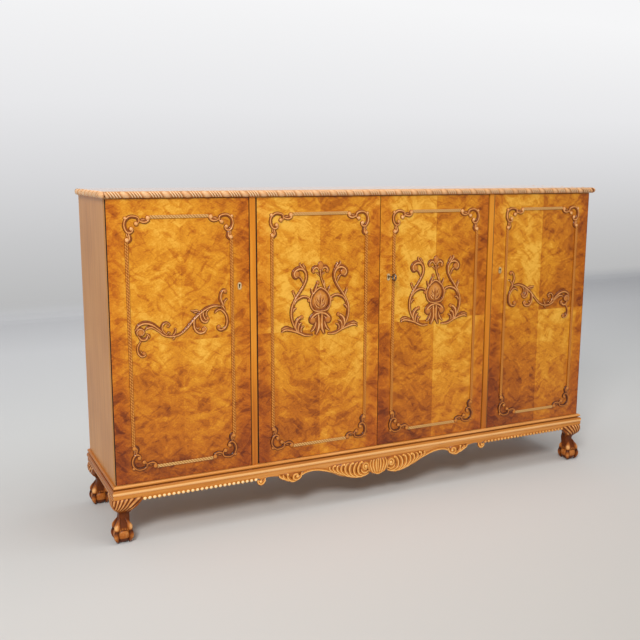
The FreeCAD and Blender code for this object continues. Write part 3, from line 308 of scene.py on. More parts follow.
def straight_veneer(name, axis, stops, polish=LACQUER, rail_light_and_shade=None, joint=None, floor_shade=0.0):
    """Wood with its grain along one axis; it may carry painted light and shade across a moulding, a dark line
    along a seam or gap, and painted shade towards the floor.
    """
    finish = Finish(name, polish)
    spot = finish.place()
    streaks, fine = [90] * 3, [900] * 3
    streaks[axis], fine[axis] = 2.5, 14
    bands = finish.noise(*[value * scale for value, scale in zip(spot, streaks)], 4, 0.6, 0.4)
    clouds = finish.speckle(spot, 4, 2)
    pores = finish.noise(*[value * scale for value, scale in zip(spot, fine)], 2)
    tone = bands * 0.7 + clouds * 0.4 + pores * 0.16 - 0.13
    if rail_light_and_shade:
        tone = tone + finish.ramp((spot[2] - RAIL_FOOT) * (1 / RAIL_HEIGHT), rail_light_and_shade) - 0.5
    if floor_shade:
        tone = tone - finish.floor_shade(spot[2]) * floor_shade
    colour = finish.ramp(tone, stops)
    if joint:
        colour = finish.tint(abs(abs(spot[0]) - joint) > JOINT_HALF, DARK_SEAM_AND_GAP_SHADE, colour)
    return finish.done(colour, 0.32 + pores * 0.12, pores, 0.00008, 0.4)


def carved_wood(name, stops, polish=LACQUER, floor_shade=0.0):
    """Stained carving: painted shade in the hollows, painted highlights along the crests, and painted shade
    towards the floor that is partly the wood's own darker tone.
    """
    finish = Finish(name, polish)
    spot = finish.place()
    grain = finish.speckle(spot, 160, 3)
    tone = finish.crest() * 0.95 + grain * 0.24 + finish.speckle(spot, 30, 2) * 0.3 - 0.25
    if floor_shade:
        tone = tone - finish.floor_shade(spot[2]) * floor_shade
    return finish.done(finish.ramp(tone, stops), 0.36 + grain * 0.14, grain, 0.00015, 0.5)


def reed_wood(name, stops):
    """Reeded strip: painted shade between the reeds and a painted highlight on their crowns, with fine
    slanting nicks along them.
    """
    finish = Finish(name, DULL)
    spot = finish.place()
    grain = finish.speckle(spot, 300, 2)
    nicks = ((spot[0] + spot[2]) * 640).wave() * 0.5 + 0.5
    tone = finish.crest() * 0.45 + grain * 0.36 + nicks * 0.5 - 0.18
    return finish.done(finish.ramp(tone, stops), 0.36 + grain * 0.14, nicks, 0.0002, 0.5)


def metal(name, colour, roughness, worn, shine=1.0, front=None):
    """Worked metal: its colour dulled in clouds, with fine rubbing marks; behind a front face it carries
    painted shade.
    """
    finish = Finish(name, {"Metallic": shine})
    x, y, z = spot = finish.place()
    rubs = finish.noise(x * 900, y * 900, z * 120, 2)
    colour = finish.tint(finish.fade(finish.speckle(spot, 120, 3), 0.4, 0.7), colour, worn)
    if front is not None:
        # painted shade behind the front face
        colour = finish.tint(y > front + PLATE_SKIN, colour, PLATE_SHADE)
    return finish.done(colour, roughness + rubs * 0.2, rubs, 0.00003, 0.4)


def finish_nodes():
    """Gives every piece from the drawing board its finish."""
    upright = straight_veneer("polished side veneer", 2, SIDE_STOPS, DULL)
    # the stile's dark line beside each outer door is painted shade in the gap
    stile = straight_veneer("pale stile wood", 2, STILE_STOPS, joint=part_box("right_stile")[1].x, floor_shade=0.38)
    lying = straight_veneer("base wood along the front", 0, BASE_STOPS)
    # the base rails carry painted light and shade across their moulding
    moulded = straight_veneer("moulded base wood along the front", 0, BASE_STOPS, LACQUER, FRONT_RAIL_LIGHT_AND_SHADE)
    deep = straight_veneer("moulded base wood along the sides", 1, BASE_STOPS, DULL, SIDE_RAIL_SHADE)
    top = straight_veneer("polished top veneer", 0, SIDE_STOPS, HIGH_POLISH)
    inner = straight_veneer("plain inner wood", 0, INNER_STOPS, DULL)
    back = straight_veneer("plain back boards", 2, BACK_STOPS, DULL, joint=BACK_SEAM)
    brass = metal("dull brass", hue(206, 172, 104), 0.28, hue(150, 112, 58))
    nickel = metal("worn nickel plate", hue(240, 234, 220), 0.25, hue(206, 196, 176), 0.6)
    plate = metal("pale keyhole plate", hue(238, 206, 156), 0.3, hue(200, 162, 112), 0.5,
                  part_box("left_door_escutcheon")[0].y)
    steel = metal("dark lock steel", hue(140, 132, 120), 0.3, hue(84, 76, 68))
    plain = {"case_wood": upright, "carved_wood": lying, "inner_wood": inner, "brass": brass,
             "nickel": nickel, "lock_steel": steel}
    special = {"back_panels": back, "left_stile": stile, "right_stile": stile, "top_board": top,
               "front_base_frame": moulded, "back_base_frame": lying,
               "left_base_frame": deep, "right_base_frame": deep}
    for door, (quarter_sheen, depth) in DOOR_VENEERS.items():
        low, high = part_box(door + "_panel")
        name = door.replace("_", " ") + " flame veneer"
        special[door + "_panel"] = flame_veneer(name, (low + high) / 2, (high - low) / 2, quarter_sheen, depth)
    special.update({name: plate for name in NODES if name.endswith("_escutcheon")})
    for name, piece in NODES.items():
        piece.data.materials.clear()
        piece.data.materials.append(special.get(name) or plain[SLOTS[name]])


# Geometry Nodes

class Plan(Workshop):
    """A Geometry Nodes tree with named inputs, which makes a mesh from a plain one."""

    def __init__(self, name, inputs):
        self.tree = bpy.data.node_groups.new(name, "GeometryNodeTree")
        sockets = self.tree.interface
        sockets.new_socket("Geometry", in_out="INPUT", socket_type="NodeSocketGeometry")
        self.keys = {}
        for label, kind in inputs.items():
            socket = sockets.new_socket(label, in_out="INPUT", socket_type="NodeSocket" + kind)
            self.keys[label] = socket.identifier
        sockets.new_socket("Geometry", in_out="OUTPUT", socket_type="NodeSocketGeometry")
        self.source = self.tree.nodes.new("NodeGroupInput")

    def value(self, label):
        return Field(self, self.source.outputs[label])

    def close(self, geometry):
        real = self.node("GeometryNodeRealizeInstances", {}, {"Geometry": geometry})
        done = self.node("GeometryNodeSetMaterial", {}, {"Geometry": real, "Material": self.value("Finish")})
        self.tree.links.new(done.socket, self.tree.nodes.new("NodeGroupOutput").inputs[0])

    def make(self, name, mesh, values):
        blank = in_scene(bpy.data.objects.new(name, mesh))
        modifier = blank.modifiers.new(name, "NODES")
        modifier.node_group = self.tree
        for label, value in values.items():
            modifier[self.keys[label]] = value
        made = bpy.data.meshes.new_from_object(blank.evaluated_get(bpy.context.evaluated_depsgraph_get()))
        bpy.data.objects.remove(blank)
        return made


def row_plan():
    """Copies of a small carved shape in a straight row."""
    plan = Plan("row of copies", {"Count": "Int", "Start": "Vector", "Step": "Vector", "Finish": "Material"})
    values = {"Count": plan.value("Count"), "Start Location": plan.value("Start"),
              "Offset": plan.value("Step")}
    spots = plan.node("GeometryNodeMeshLine", {"mode": "OFFSET"}, values)
    values = {"Points": spots, "Instance": plan.value("Geometry")}
    plan.close(plan.node("GeometryNodeInstanceOnPoints", {}, values))
    return plan


def strip_plan():
    """A strip of round reeds swept along each line of a plain mesh."""
    plan = Plan("reeded strip", {"Width": "Float", "Base": "Float", "Reeds": "Int", "Finish": "Material"})
    width, reeds = plan.value("Width"), plan.value("Reeds")
    ends = [plan.node("ShaderNodeCombineXYZ", {}, {1: width * half}) for half in (-0.5, 0.5)]
    edge = plan.node("GeometryNodeCurvePrimitiveLine", {}, {"Start": ends[0], "End": ends[1]})
    edge = plan.node("GeometryNodeResampleCurve", {}, {"Curve": edge, "Count": reeds * 6 + 1})
    share = plan.node("GeometryNodeSplineParameter", {}, {}, "Factor")
    turn = (share * reeds).fraction() * 2 - 1
    crown = (1 - turn * turn).at_least(0.0).root()
    reed = width / (reeds * 2)
    inside = (share > 0.001) * (1 - (share > 0.999))
    lift = plan.node("ShaderNodeCombineXYZ", {}, {0: inside * (plan.value("Base") + crown * reed)})
    # each reed keeps a painted highlight on its crown and painted shade between reeds
    values = {"Geometry": edge, "Name": "tone", "Value": crown * inside}
    edge = plan.node("GeometryNodeStoreNamedAttribute", {}, values)
    edge = plan.node("GeometryNodeSetPosition", {}, {"Geometry": edge, "Offset": lift})
    edge = plan.node("GeometryNodeSetSplineCyclic", {}, {"Geometry": edge, "Cyclic": True})
    line = plan.node("GeometryNodeMeshToCurve", {}, {"Mesh": plan.value("Geometry")})
    line = plan.node("GeometryNodeSetCurveNormal", {"mode": "FREE"}, {"Curve": line, "Normal": (0, -1, 0)})
    values = {"Curve": line, "Profile Curve": edge, "Fill Caps": True}
    plan.close(plan.node("GeometryNodeCurveToMesh", {}, values))
    return plan


ROW = row_plan()
STRIP = strip_plan()
STRIP_WIDTH = 0.0105
STRIP_BASE = 0.0025


def reeded_strips(name, lines, face, reeds, finish):
    """Reeded strips along lines on a face that looks forwards."""
    points = [(x, face, z) for line in lines for x, z in line]
    edges = [(spot, spot + 1) for spot in range(0, len(points), 2)]
    mesh = bpy.data.meshes.new(name)
    mesh.from_pydata(points, edges, [])
    values = {"Width": STRIP_WIDTH, "Base": STRIP_BASE, "Reeds": reeds, "Finish": finish}
    return finished_piece(name, STRIP.make(name, mesh, values), None)


def row_of(carving, count, start, step, finish):
    """A carved shape copied along a straight row."""
    values = {"Count": count, "Start": start, "Step": step, "Finish": finish}
    return ROW.make("row", carving.mesh("carved copy"), values)


# Carving

# across a stroke: place, rise and painted light; a painted highlight along one side of the crest, painted
# shade in the vein and along the edges
SECTION = [(-1.0, 0.0, 0.0), (-1.0, 0.36, 0.05), (-0.84, 0.72, 0.3), (-0.52, 0.96, 0.75), (-0.2, 1.0, 1.0),
           (0.08, 0.9, 0.55), (0.28, 0.0, 0.15), (0.48, 0.86, 0.5), (0.78, 0.68, 0.32), (1.0, 0.36, 0.05),
           (1.0, 0.0, 0.0)]
VEIN = 6
VEIN_LEVEL = 0.86
# round a bud: share of its radius, rise and painted light, with a painted highlight on its top
DOME = [(1.0, 0.0, 0.1), (1.0, 0.3, 0.3), (0.9, 0.66, 0.6), (0.68, 0.88, 0.9), (0.34, 1.0, 1.0)]
DOME_POINTS = 14
# the painted highlight on a bud, as a share of the full painted light
BUD_HIGHLIGHT = 0.72
BED = 0.3
FULLNESS = 1.2


def smooth_line(points, steps=5):
    """A smooth line through points, with a few steps between each two."""
    points = [Vector(point) for point in points]
    padded = [points[0] * 2 - points[1]] + points + [points[-1] * 2 - points[-2]]
    line = []
    for before, start, end, after in zip(padded, padded[1:], padded[2:], padded[3:]):
        for step in range(steps):
            t = step / steps
            line.append(0.5 * (start * 2 + (end - before) * t
                               + (before * 2 - start * 5 + end * 4 - after) * t * t
                               + (start * 3 - before - end * 3 + after) * t ** 3))
    return line + [points[-1]]


def between(values, share):
    """The value at a share of the way along a list, eased from one to the next."""
    spot = share * (len(values) - 1)
    index = min(int(spot), len(values) - 2)
    ease = (1 - math.cos((spot - index) * math.pi)) / 2
    return values[index] * (1 - ease) + values[index + 1] * ease


def clamp(share):
    return min(1.0, max(0.0, share))


def circle(count):
    """Turns evenly round a circle."""
    return [step / count * math.tau for step in range(count)]


def heading(line, index):
    """Which way a line runs at one of its points."""
    return line[min(index + 1, len(line) - 1)] - line[max(index - 1, 0)]


class Carving:
    """Closed carved shapes gathered into one piece; each point keeps a tone of painted light, from painted
    shade in the hollow to painted highlight on the crest.
    """

    def __init__(self, bench=None):
        self.bench = bench
        self.points = []
        self.faces = []
        self.painted_light_tones = []

    def loft(self, rows):
        """A closed shape through rings of points, each with its tone of painted light."""
        start = len(self.points)
        count = len(rows[0])
        for point, tone in (pair for row in rows for pair in row):
            self.points.append(point)
            self.painted_light_tones.append(tone)
        last = len(self.points) - count
        for row in range(start, last, count):
            for spot in range(count):
                first, second = row + spot, row + (spot + 1) % count
                self.faces.append((first, second, second + count, first + count))
        self.faces.append(tuple(range(start, start + count)))
        self.faces.append(tuple(range(last, last + count)))

    def stroke(self, points, widths, height, dip=0.25):
        """A leaf or stem along a smooth line: a rolled crest with a vein cut beside it."""
        line = smooth_line(points)
        widest = max(widths) * FULLNESS
        rows = []
        for index, spot in enumerate(line):
            ahead = heading(line, index)
            aside = Vector((-ahead.y, ahead.x)).normalized()
            half = between(widths, index / (len(line) - 1)) * FULLNESS / 2
            crest = height * min(1.0, (half * 2 / widest) ** 0.5)
            row = []
            for place, (side, level, shade) in enumerate(SECTION):
                rise = crest * level if level else -BED
                if place == VEIN:
                    rise = crest * (VEIN_LEVEL - dip)
                row.append((self.bench(spot + aside * half * side, rise), shade))
            rows.append(row)
        self.loft(rows)

    def boss(self, point, radius, height, polish=BUD_HIGHLIGHT, stretch=1.0):
        """A round bud or the eye of a scroll; polish scales its painted highlight."""
        rows = []
        for share, level, shade in DOME:
            rise = height * level if level else -BED
            rows.append([])
            for turn in circle(DOME_POINTS):
                out = Vector((math.cos(turn), math.sin(turn) * stretch)) * radius * share
                rows[-1].append((self.bench(Vector(point) + out, rise), shade * polish))
        self.loft(rows)

    def carve(self, strokes, buds):
        for stroke in strokes:
            self.stroke(*stroke)
        for bud in buds:
            self.boss(*bud)

    def take(self, mesh):
        """Adds a mesh that Geometry Nodes have made, with its tones of painted light."""
        start = len(self.points)
        self.points.extend(vertex.co.copy() for vertex in mesh.vertices)
        self.faces.extend(tuple(start + spot for spot in face.vertices) for face in mesh.polygons)
        self.painted_light_tones.extend(item.value for item in mesh.attributes["tone"].data)

    def mesh(self, name):
        mesh = bpy.data.meshes.new(name)
        mesh.from_pydata(self.points, [], self.faces)
        mesh.attributes.new("tone", "FLOAT", "POINT").data.foreach_set("value", self.painted_light_tones)
        return mesh

    def piece(self, name, finish):
        return finished_piece(name, self.mesh(name), finish)


def finished_piece(name, mesh, finish):
    """A mesh made a smooth piece with its faces outwards."""
    shell = bmesh.new()
    shell.from_mesh(mesh)
    bmesh.ops.recalc_face_normals(shell, faces=shell.faces)
    shell.to_mesh(mesh)
    shell.free()
    mesh.shade_smooth()
    if finish:
        mesh.materials.clear()
        mesh.materials.append(finish)
    return in_scene(bpy.data.objects.new(name, mesh))


def flat_bench(middle, face, foot, side=1, up=1, out=-1):
    """A carving bench on a face that looks forwards, or backwards: mm across, mm up, mm proud."""
    def bench(spot, rise):
        return Vector((middle + spot[0] * side * MM, face + rise * out * MM, foot + spot[1] * up * MM))
    return bench


def add_to(node, piece):
    """Lets a piece sit on one of the drawing board's nodes and move with it."""
    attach(piece, NODES[node]["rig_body"])


def dress(node, piece):
    """Lets a piece stand for one of the drawing board's nodes."""
    add_to(node, piece)
    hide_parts(node)


LYRE_PAIRS = [
    # line, widths and height of each stroke on the right half; the left half mirrors it
    ([(76, 8), (98, 36), (110, 68), (111, 98), (103, 122), (90, 144), (69, 173), (56, 198), (54, 220),
      (64, 238), (83, 243), (99, 235), (104, 222), (97, 211), (87, 213)],
     [5, 10, 11, 11, 10, 10, 11, 13, 14, 13, 12, 9], 6.4),
    ([(60, 200), (56, 222), (66, 242), (77, 254), (79, 263)], [3, 9, 10, 9, 5], 5.6),
    ([(56, 226), (60, 244), (66, 254), (67, 260)], [3, 8, 7, 3], 4.8),
    ([(92, 216), (80, 212), (72, 202), (66, 186)], [3, 8, 9, 3], 4.6),
    ([(104, 104), (97, 124), (84, 136), (66, 142), (49, 138), (42, 130), (48, 124)],
     [4, 9, 11, 10, 9, 6], 5.8),
    ([(97, 130), (98, 146), (104, 158), (106, 162)], [4, 9, 9, 5], 5.0),
    ([(110, 84), (103, 97), (97, 103), (92, 102)], [4, 9, 8, 4], 4.8),
    ([(82, 10), (94, 32), (92, 52), (83, 64), (72, 70)], [5, 12, 16, 15, 7], 6.0),
    ([(78, 8), (85, 28), (80, 44), (71, 50)], [5, 11, 13, 6], 5.2),
    ([(68, 8), (74, 22), (71, 33), (62, 37)], [4, 9, 10, 5], 4.6),
    ([(30, 4), (58, 5), (86, 18), (116, 29), (138, 31), (150, 22)], [6, 10, 11, 14, 13, 6], 6.0),
    ([(96, 22), (118, 35), (136, 38), (151, 32)], [3, 8, 9, 5], 5.0),
    ([(4, 230), (11, 243), (22, 244), (30, 235), (27, 226)], [6, 10, 12, 11, 7], 5.8),
    ([(3, 212), (9, 222), (17, 225)], [4, 7, 4], 4.4),
    ([(0, 84), (20, 79), (36, 65), (38, 53), (30, 46), (24, 51)], [13, 14, 13, 12, 10, 6], 6.2),
    ([(9, 78), (9, 54), (9, 30), (17, 4)], [12, 19, 19, 9], 5.0),
    ([(17, 60), (20, 42), (27, 26), (37, 16)], [5, 9, 11, 6], 4.4),
    ([(14, 70), (24, 62), (28, 56)], [4, 8, 5], 4.6),
]
LYRE_TOP = [
    # the strokes above the cartouche, which aren't the same on both sides, and the leaf in its middle
    ([(0, 234), (2, 214), (7, 196), (16, 174), (27, 154)], [8, 8, 8, 8, 6], 5.6),
    ([(17, 168), (14, 182), (15, 196)], [6, 9, 4], 5.0),
    ([(27, 154), (33, 166), (38, 178)], [6, 8, 3], 5.0),
    ([(-26, 150), (-20, 168), (-12, 186)], [8, 10, 8], 5.8),
    ([(-29, 144), (-34, 158), (-37, 170)], [7, 9, 4], 5.2),
    ([(0, 98), (2, 122), (0, 152)], [7, 11, 5], 4.6),
]
LYRE_TOP_BUDS = [((-10, 189), 7, 6.2, BUD_HIGHLIGHT, 1.2), ((1, 248), 12, 6.6, BUD_HIGHLIGHT, 1.4),
                 ((0, 127), 36, 2.6, 0.86, 1.16)]
LYRE_BUDS = [((90, 222), 12.5, 6.8), ((30, 55), 13, 6.8), ((45, 127), 6.5, 5.8), ((105, 163), 5.5, 5.2),
             ((72, 70), 7.5, 5.8), ((27, 229), 7, 5.8)]
CARTOUCHE = [
    # the rim and the inner leaves on the right half
    ([(0, 88), (24, 92), (36, 108), (37, 130), (28, 150), (10, 166), (0, 170)], [9] * 5, 6.4, 0.15),
    ([(3, 100), (14, 106), (24, 124)], [5, 11, 4], 4.4),
    ([(3, 116), (12, 124), (18, 144)], [5, 10, 4], 4.2),
]


def lyre(name, carved):
    """Lyre of scrolls round a carved cartouche, with a lily above and a shell of leaves below."""
    low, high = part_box(name)
    middle = (low.x + high.x) / 2
    work = Carving()
    for side in (1, -1):
        work.bench = flat_bench(middle, high.y, low.z, side)
        work.carve(LYRE_PAIRS, LYRE_BUDS)
        work.carve(CARTOUCHE, [])
    work.bench = flat_bench(middle, high.y, low.z)
    work.carve(LYRE_TOP, LYRE_TOP_BUDS)
    dress(name, work.piece(name + ".carved", carved))


BRANCH = [
    # line, widths and height of each stroke on the left door; the right door mirrors it
    ([(-158, 97), (-146, 112), (-126, 119), (-102, 113), (-80, 96), (-64, 80)], [4, 11, 13, 12, 9, 4], 5.8),
    ([(-128, 92), (-118, 102), (-102, 103), (-84, 91), (-68, 78)], [4, 9, 10, 8, 4], 5.0),
    ([(-84, 93), (-66, 76), (-46, 69), (-26, 69), (-4, 77), (16, 94), (38, 118), (59, 137), (84, 153),
      (110, 160), (134, 157)], [4, 9, 9, 8, 8, 9, 9, 10, 10, 9, 6], 5.8),
    ([(-52, 72), (-66, 84), (-71, 99), (-65, 112), (-53, 115), (-44, 107), (-48, 98)],
     [5, 8, 8, 8, 7, 6, 4], 5.2),
    ([(-54, 76), (-48, 82), (-40, 78)], [3, 6, 3], 4.2),
    ([(-40, 66), (-28, 78), (-24, 92), (-30, 90)], [4, 8, 6, 3], 4.6),
    ([(-28, 67), (-30, 60), (-36, 56)], [6, 6, 3], 4.4),
    ([(46, 132), (40, 110), (42, 88), (54, 74), (70, 74), (79, 84), (72, 92)],
     [4, 10, 11, 11, 11, 9, 5], 5.8),
    ([(44, 96), (50, 88), (58, 90)], [3, 6, 3], 4.4),
    ([(66, 142), (63, 126), (69, 112), (80, 108), (90, 115)], [4, 11, 12, 11, 5], 5.6),
    ([(74, 147), (72, 132), (78, 118), (86, 113)], [4, 8, 8, 4], 5.2),
    ([(96, 152), (84, 142), (82, 130), (88, 126)], [4, 7, 7, 4], 5.0),
    ([(62, 142), (48, 146), (36, 146), (28, 150)], [4, 9, 8, 3], 5.0),
    ([(52, 140), (44, 140), (38, 138)], [4, 6, 3], 4.2),
    ([(110, 134), (118, 143), (130, 147), (144, 138), (154, 120), (155, 98), (148, 82), (134, 75), (122, 79),
      (119, 90)], [4, 8, 9, 10, 10, 10, 10, 9, 7, 4], 5.8),
    ([(142, 148), (138, 164), (132, 180), (133, 198), (142, 211), (152, 211)], [4, 9, 10, 9, 8, 5], 5.6),
    ([(142, 158), (146, 172), (154, 180), (158, 178)], [3, 7, 6, 3], 4.6),
    ([(134, 160), (144, 152), (150, 140)], [4, 9, 4], 5.2),
    ([(-148, 78), (-138, 66), (-124, 66), (-117, 78)], [6, 12, 12, 5], 5.4),
    ([(-122, 84), (-112, 76), (-114, 64)], [3, 7, 3], 4.4),
    ([(-140, 60), (-150, 42), (-150, 24), (-141, 11), (-129, 12), (-126, 20)], [5, 8, 9, 9, 8, 5], 5.4),
    ([(-142, 30), (-138, 22), (-133, 24)], [3, 6, 3], 4.0),
    ([(-152, 80), (-154, 93), (-144, 101), (-132, 97), (-129, 86), (-137, 79), (-145, 86)],
     [6, 8, 8, 7, 7, 6, 5], 7.6),
]
BRANCH_BUDS = [((-141, 88), 13, 6.4), ((72, 82), 8.5, 6.4), ((125, 86), 8.5, 6.4), ((149, 206), 8, 6.2),
               ((-131, 18), 7, 6.0), ((87, 118), 6.5, 6.0), ((-50, 102), 4.5, 4.8)]


def branch(name, side, carved):
    """Leafy S scroll that rises towards the cupboard's middle."""
    low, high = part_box(name)
    work = Carving(flat_bench((low.x + high.x) / 2, high.y, low.z, side))
    work.carve(BRANCH, BRANCH_BUDS)
    dress(name, work.piece(name + ".carved", carved))


CORNER = [
    # line, widths and height of each stroke in from an upper left corner
    ([(42, -28), (50, -21), (49, -9), (37, -4), (24, -4), (13, -11), (7, -21), (6, -34), (11, -47), (19, -53),
      (28, -50), (31, -43), (27, -39)], [6, 9, 10, 10, 10, 11, 11, 9, 6], 6.0),
    ([(50, -12), (60, -19), (72, -20), (81, -15), (83, -7)], [5, 10, 12, 12, 8], 5.8),
    ([(54, -16), (64, -13), (72, -12)], [4, 8, 3], 4.6),
    ([(17, -53), (21, -64), (22, -74), (16, -81), (9, -79)], [5, 10, 12, 11, 7], 5.8),
    ([(12, -54), (14, -64), (19, -71)], [4, 8, 3], 4.6),
]
CORNER_BUDS = [((43, -26), 8, 6.4, 0.95), ((27, -42), 7.5, 6.4, 0.95), ((8, -8), 6, 5.4, 0.95),
               ((81, -9), 9, 6.4, 0.95), ((12, -77), 8.5, 6.4, 0.95)]
CORNER_REACH = (88, 84)
LYING_INSET = 0.006
STANDING_INSET = 0.01


def moulding(name, carved, pale, brown):
    """Reeded strips between carved corner scrolls, round a door."""
    low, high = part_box(name)
    work = Carving()
    for up, z in ((1, high.z), (-1, low.z)):
        for side, x in ((1, low.x), (-1, high.x)):
            work.bench = flat_bench(x, high.y, z, side, up)
            work.carve(CORNER, CORNER_BUDS)
    dress(name, work.piece(name + ".corners", carved))
    reach_x, reach_z = (reach * MM for reach in CORNER_REACH)
    levels = (high.z - LYING_INSET, low.z + LYING_INSET)
    lying = [[(low.x + reach_x, z), (high.x - reach_x, z)] for z in levels]
    uprights = (low.x + STANDING_INSET, high.x - STANDING_INSET)
    standing = [[(x, low.z + reach_z), (x, high.z - reach_z)] for x in uprights]
    dress(name, reeded_strips(name + ".lying_strips", lying, high.y, 3, pale))
    dress(name, reeded_strips(name + ".standing_strips", standing, high.y, 2, brown))


# Gadrooned edge

NOSE = 0.011
LOBE_RISE = 0.003
LOBE_TURNS = [-78, -52, -26, 0, 26, 52, 78]
LOBE_BED = [(0.7, -1.0, 0.0), (-0.7, -1.0, 0.0)]
SLANT = -0.7
MOTIF = 0.066
FLUTE_PITCH = 0.0092
END_LEAF = 0.0145
CORNER_LEAF = 0.013
SIDE_BOLDNESS = 1.4
FLUTES = [-1.5, -0.5, 0.5, 1.5]
# across a lobe: place, rise and painted light, a painted highlight on the crest and painted shade at the
# sides
FLUTE = [(-1.0, -0.3, 0.0), (-0.7, 0.4, 0.1), (-0.3, 0.85, 0.85), (0.1, 0.95, 1.0), (0.45, 0.7, 0.6),
         (0.75, 0.3, 0.1), (1.0, -0.3, 0.0)]
LEAF = [(-1.0, -0.3, 0.0), (-0.88, 0.55, 0.35), (-0.55, 0.95, 0.62), (-0.1, 1.1, 0.68), (0.4, 1.0, 0.6),
        (0.82, 0.55, 0.4), (1.0, -0.3, 0.0)]


def gadroon_lobe(place, half, section, spread, slant):
    """One lobe over the round nose of the top edge, in its own place: along, out and up."""
    rows = []
    for turn in LOBE_TURNS:
        angle = math.radians(turn)
        fall = (LOBE_TURNS[-1] - turn) / (LOBE_TURNS[-1] * 2)
        reach = half * between(spread, fall)
        rows.append([])
        for share, level, shade in section + LOBE_BED:
            out = NOSE + LOBE_RISE * (level - 1)
            along = share * reach + slant * math.sin(angle) * NOSE
            point = place(along, math.cos(angle) * out, math.sin(angle) * out)
            # painted light: a lobe gets lighter towards its lower lip
            rows[-1].append((point, shade * (0.75 + 0.35 * fall)))
    work = Carving()
    work.loft(rows)
    return work


def gadroon(name, way, carved):
    """Gadrooned edge: groups of slanting flutes with a leaf between them, mitred under a corner leaf."""
    low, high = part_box(name)
    edge_low, edge_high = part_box("front_gadroon")
    over = DOOR_FRONT - edge_low.y
    inner = over - (edge_high.y - edge_low.y)
    nose_out = over - NOSE
    middle = (low.z + high.z) / 2
    profile = [(inner, NOSE), (nose_out, NOSE)]
    for turn in range(75, -76, -15):
        angle = math.radians(turn)
        profile.append((nose_out + (NOSE - LOBE_RISE) * math.cos(angle), NOSE * math.sin(angle)))
    profile += [(nose_out, -NOSE), (inner, -NOSE)]

    def mitre(side):
        return [(side * (CASE_HALF + out), DOOR_FRONT - out, up) for out, up in profile]
    if way == 0:
        ends = [mitre(-1), mitre(1)]
    else:
        ends = [mitre(way), [(x, CASE_BACK, up) for x, y, up in mitre(way)]]
    core = Carving()
    # the core's top carries a painted highlight, its nose below painted shade
    core.loft([[(Vector((x, y, middle + up)), 0.75 if up > 0.9 * NOSE else 0.4) for x, y, up in end]
               for end in ends])

    def on_edge(along, out, up):
        if way == 0:
            return Vector((along, DOOR_FRONT - nose_out - out, middle + up))
        return Vector((way * (CASE_HALF + nose_out + out), along, middle + up))

    def on_corner(along, out, up):
        reach, aside = nose_out + out, along * 0.7
        return Vector((way * (CASE_HALF + reach + aside), DOOR_FRONT - reach + aside, middle + up))

    def lengthwise(distance):
        return (distance, 0, 0) if way == 0 else (0, distance, 0)
    span = (CASE_HALF + nose_out) * 2 if way == 0 else CASE_BACK - DOOR_FRONT + nose_out
    first = -CASE_HALF - nose_out if way == 0 else DOOR_FRONT - nose_out
    count = round(span / MOTIF)
    motif = span / count
    flute = gadroon_lobe(on_edge, FLUTE_PITCH / 2, FLUTE, [0.8, 1.0, 0.8], SLANT)
    bold = SIDE_BOLDNESS if way else 1.0
    section = [(share, level * bold, shade) for share, level, shade in LEAF]
    leaf_width = motif - FLUTE_PITCH * len(FLUTES)
    leaf = gadroon_lobe(on_edge, leaf_width / 2, section, [0.7, 0.95, 1.05], SLANT)
    rows = [(flute, motif / 2 + FLUTE_PITCH * shift, count, motif) for shift in FLUTES]
    rows.append((leaf, motif, count - 1, motif))
    if way == 0:
        end = gadroon_lobe(on_edge, END_LEAF / 2, LEAF, [0.8, 1.0, 0.9], SLANT)
        rows.append((end, END_LEAF / 2, 2, span - END_LEAF))
    for lobe, shift, copies, step in rows:
        core.take(row_of(lobe, copies, lengthwise(first + shift), lengthwise(step), carved))
    if way:
        core.take(gadroon_lobe(on_corner, CORNER_LEAF, LEAF, [0.6, 1.0, 0.7], 0.0).mesh("corner leaf"))
    dress(name, core.piece(name + ".carved", carved))


# Carved apron and bead row

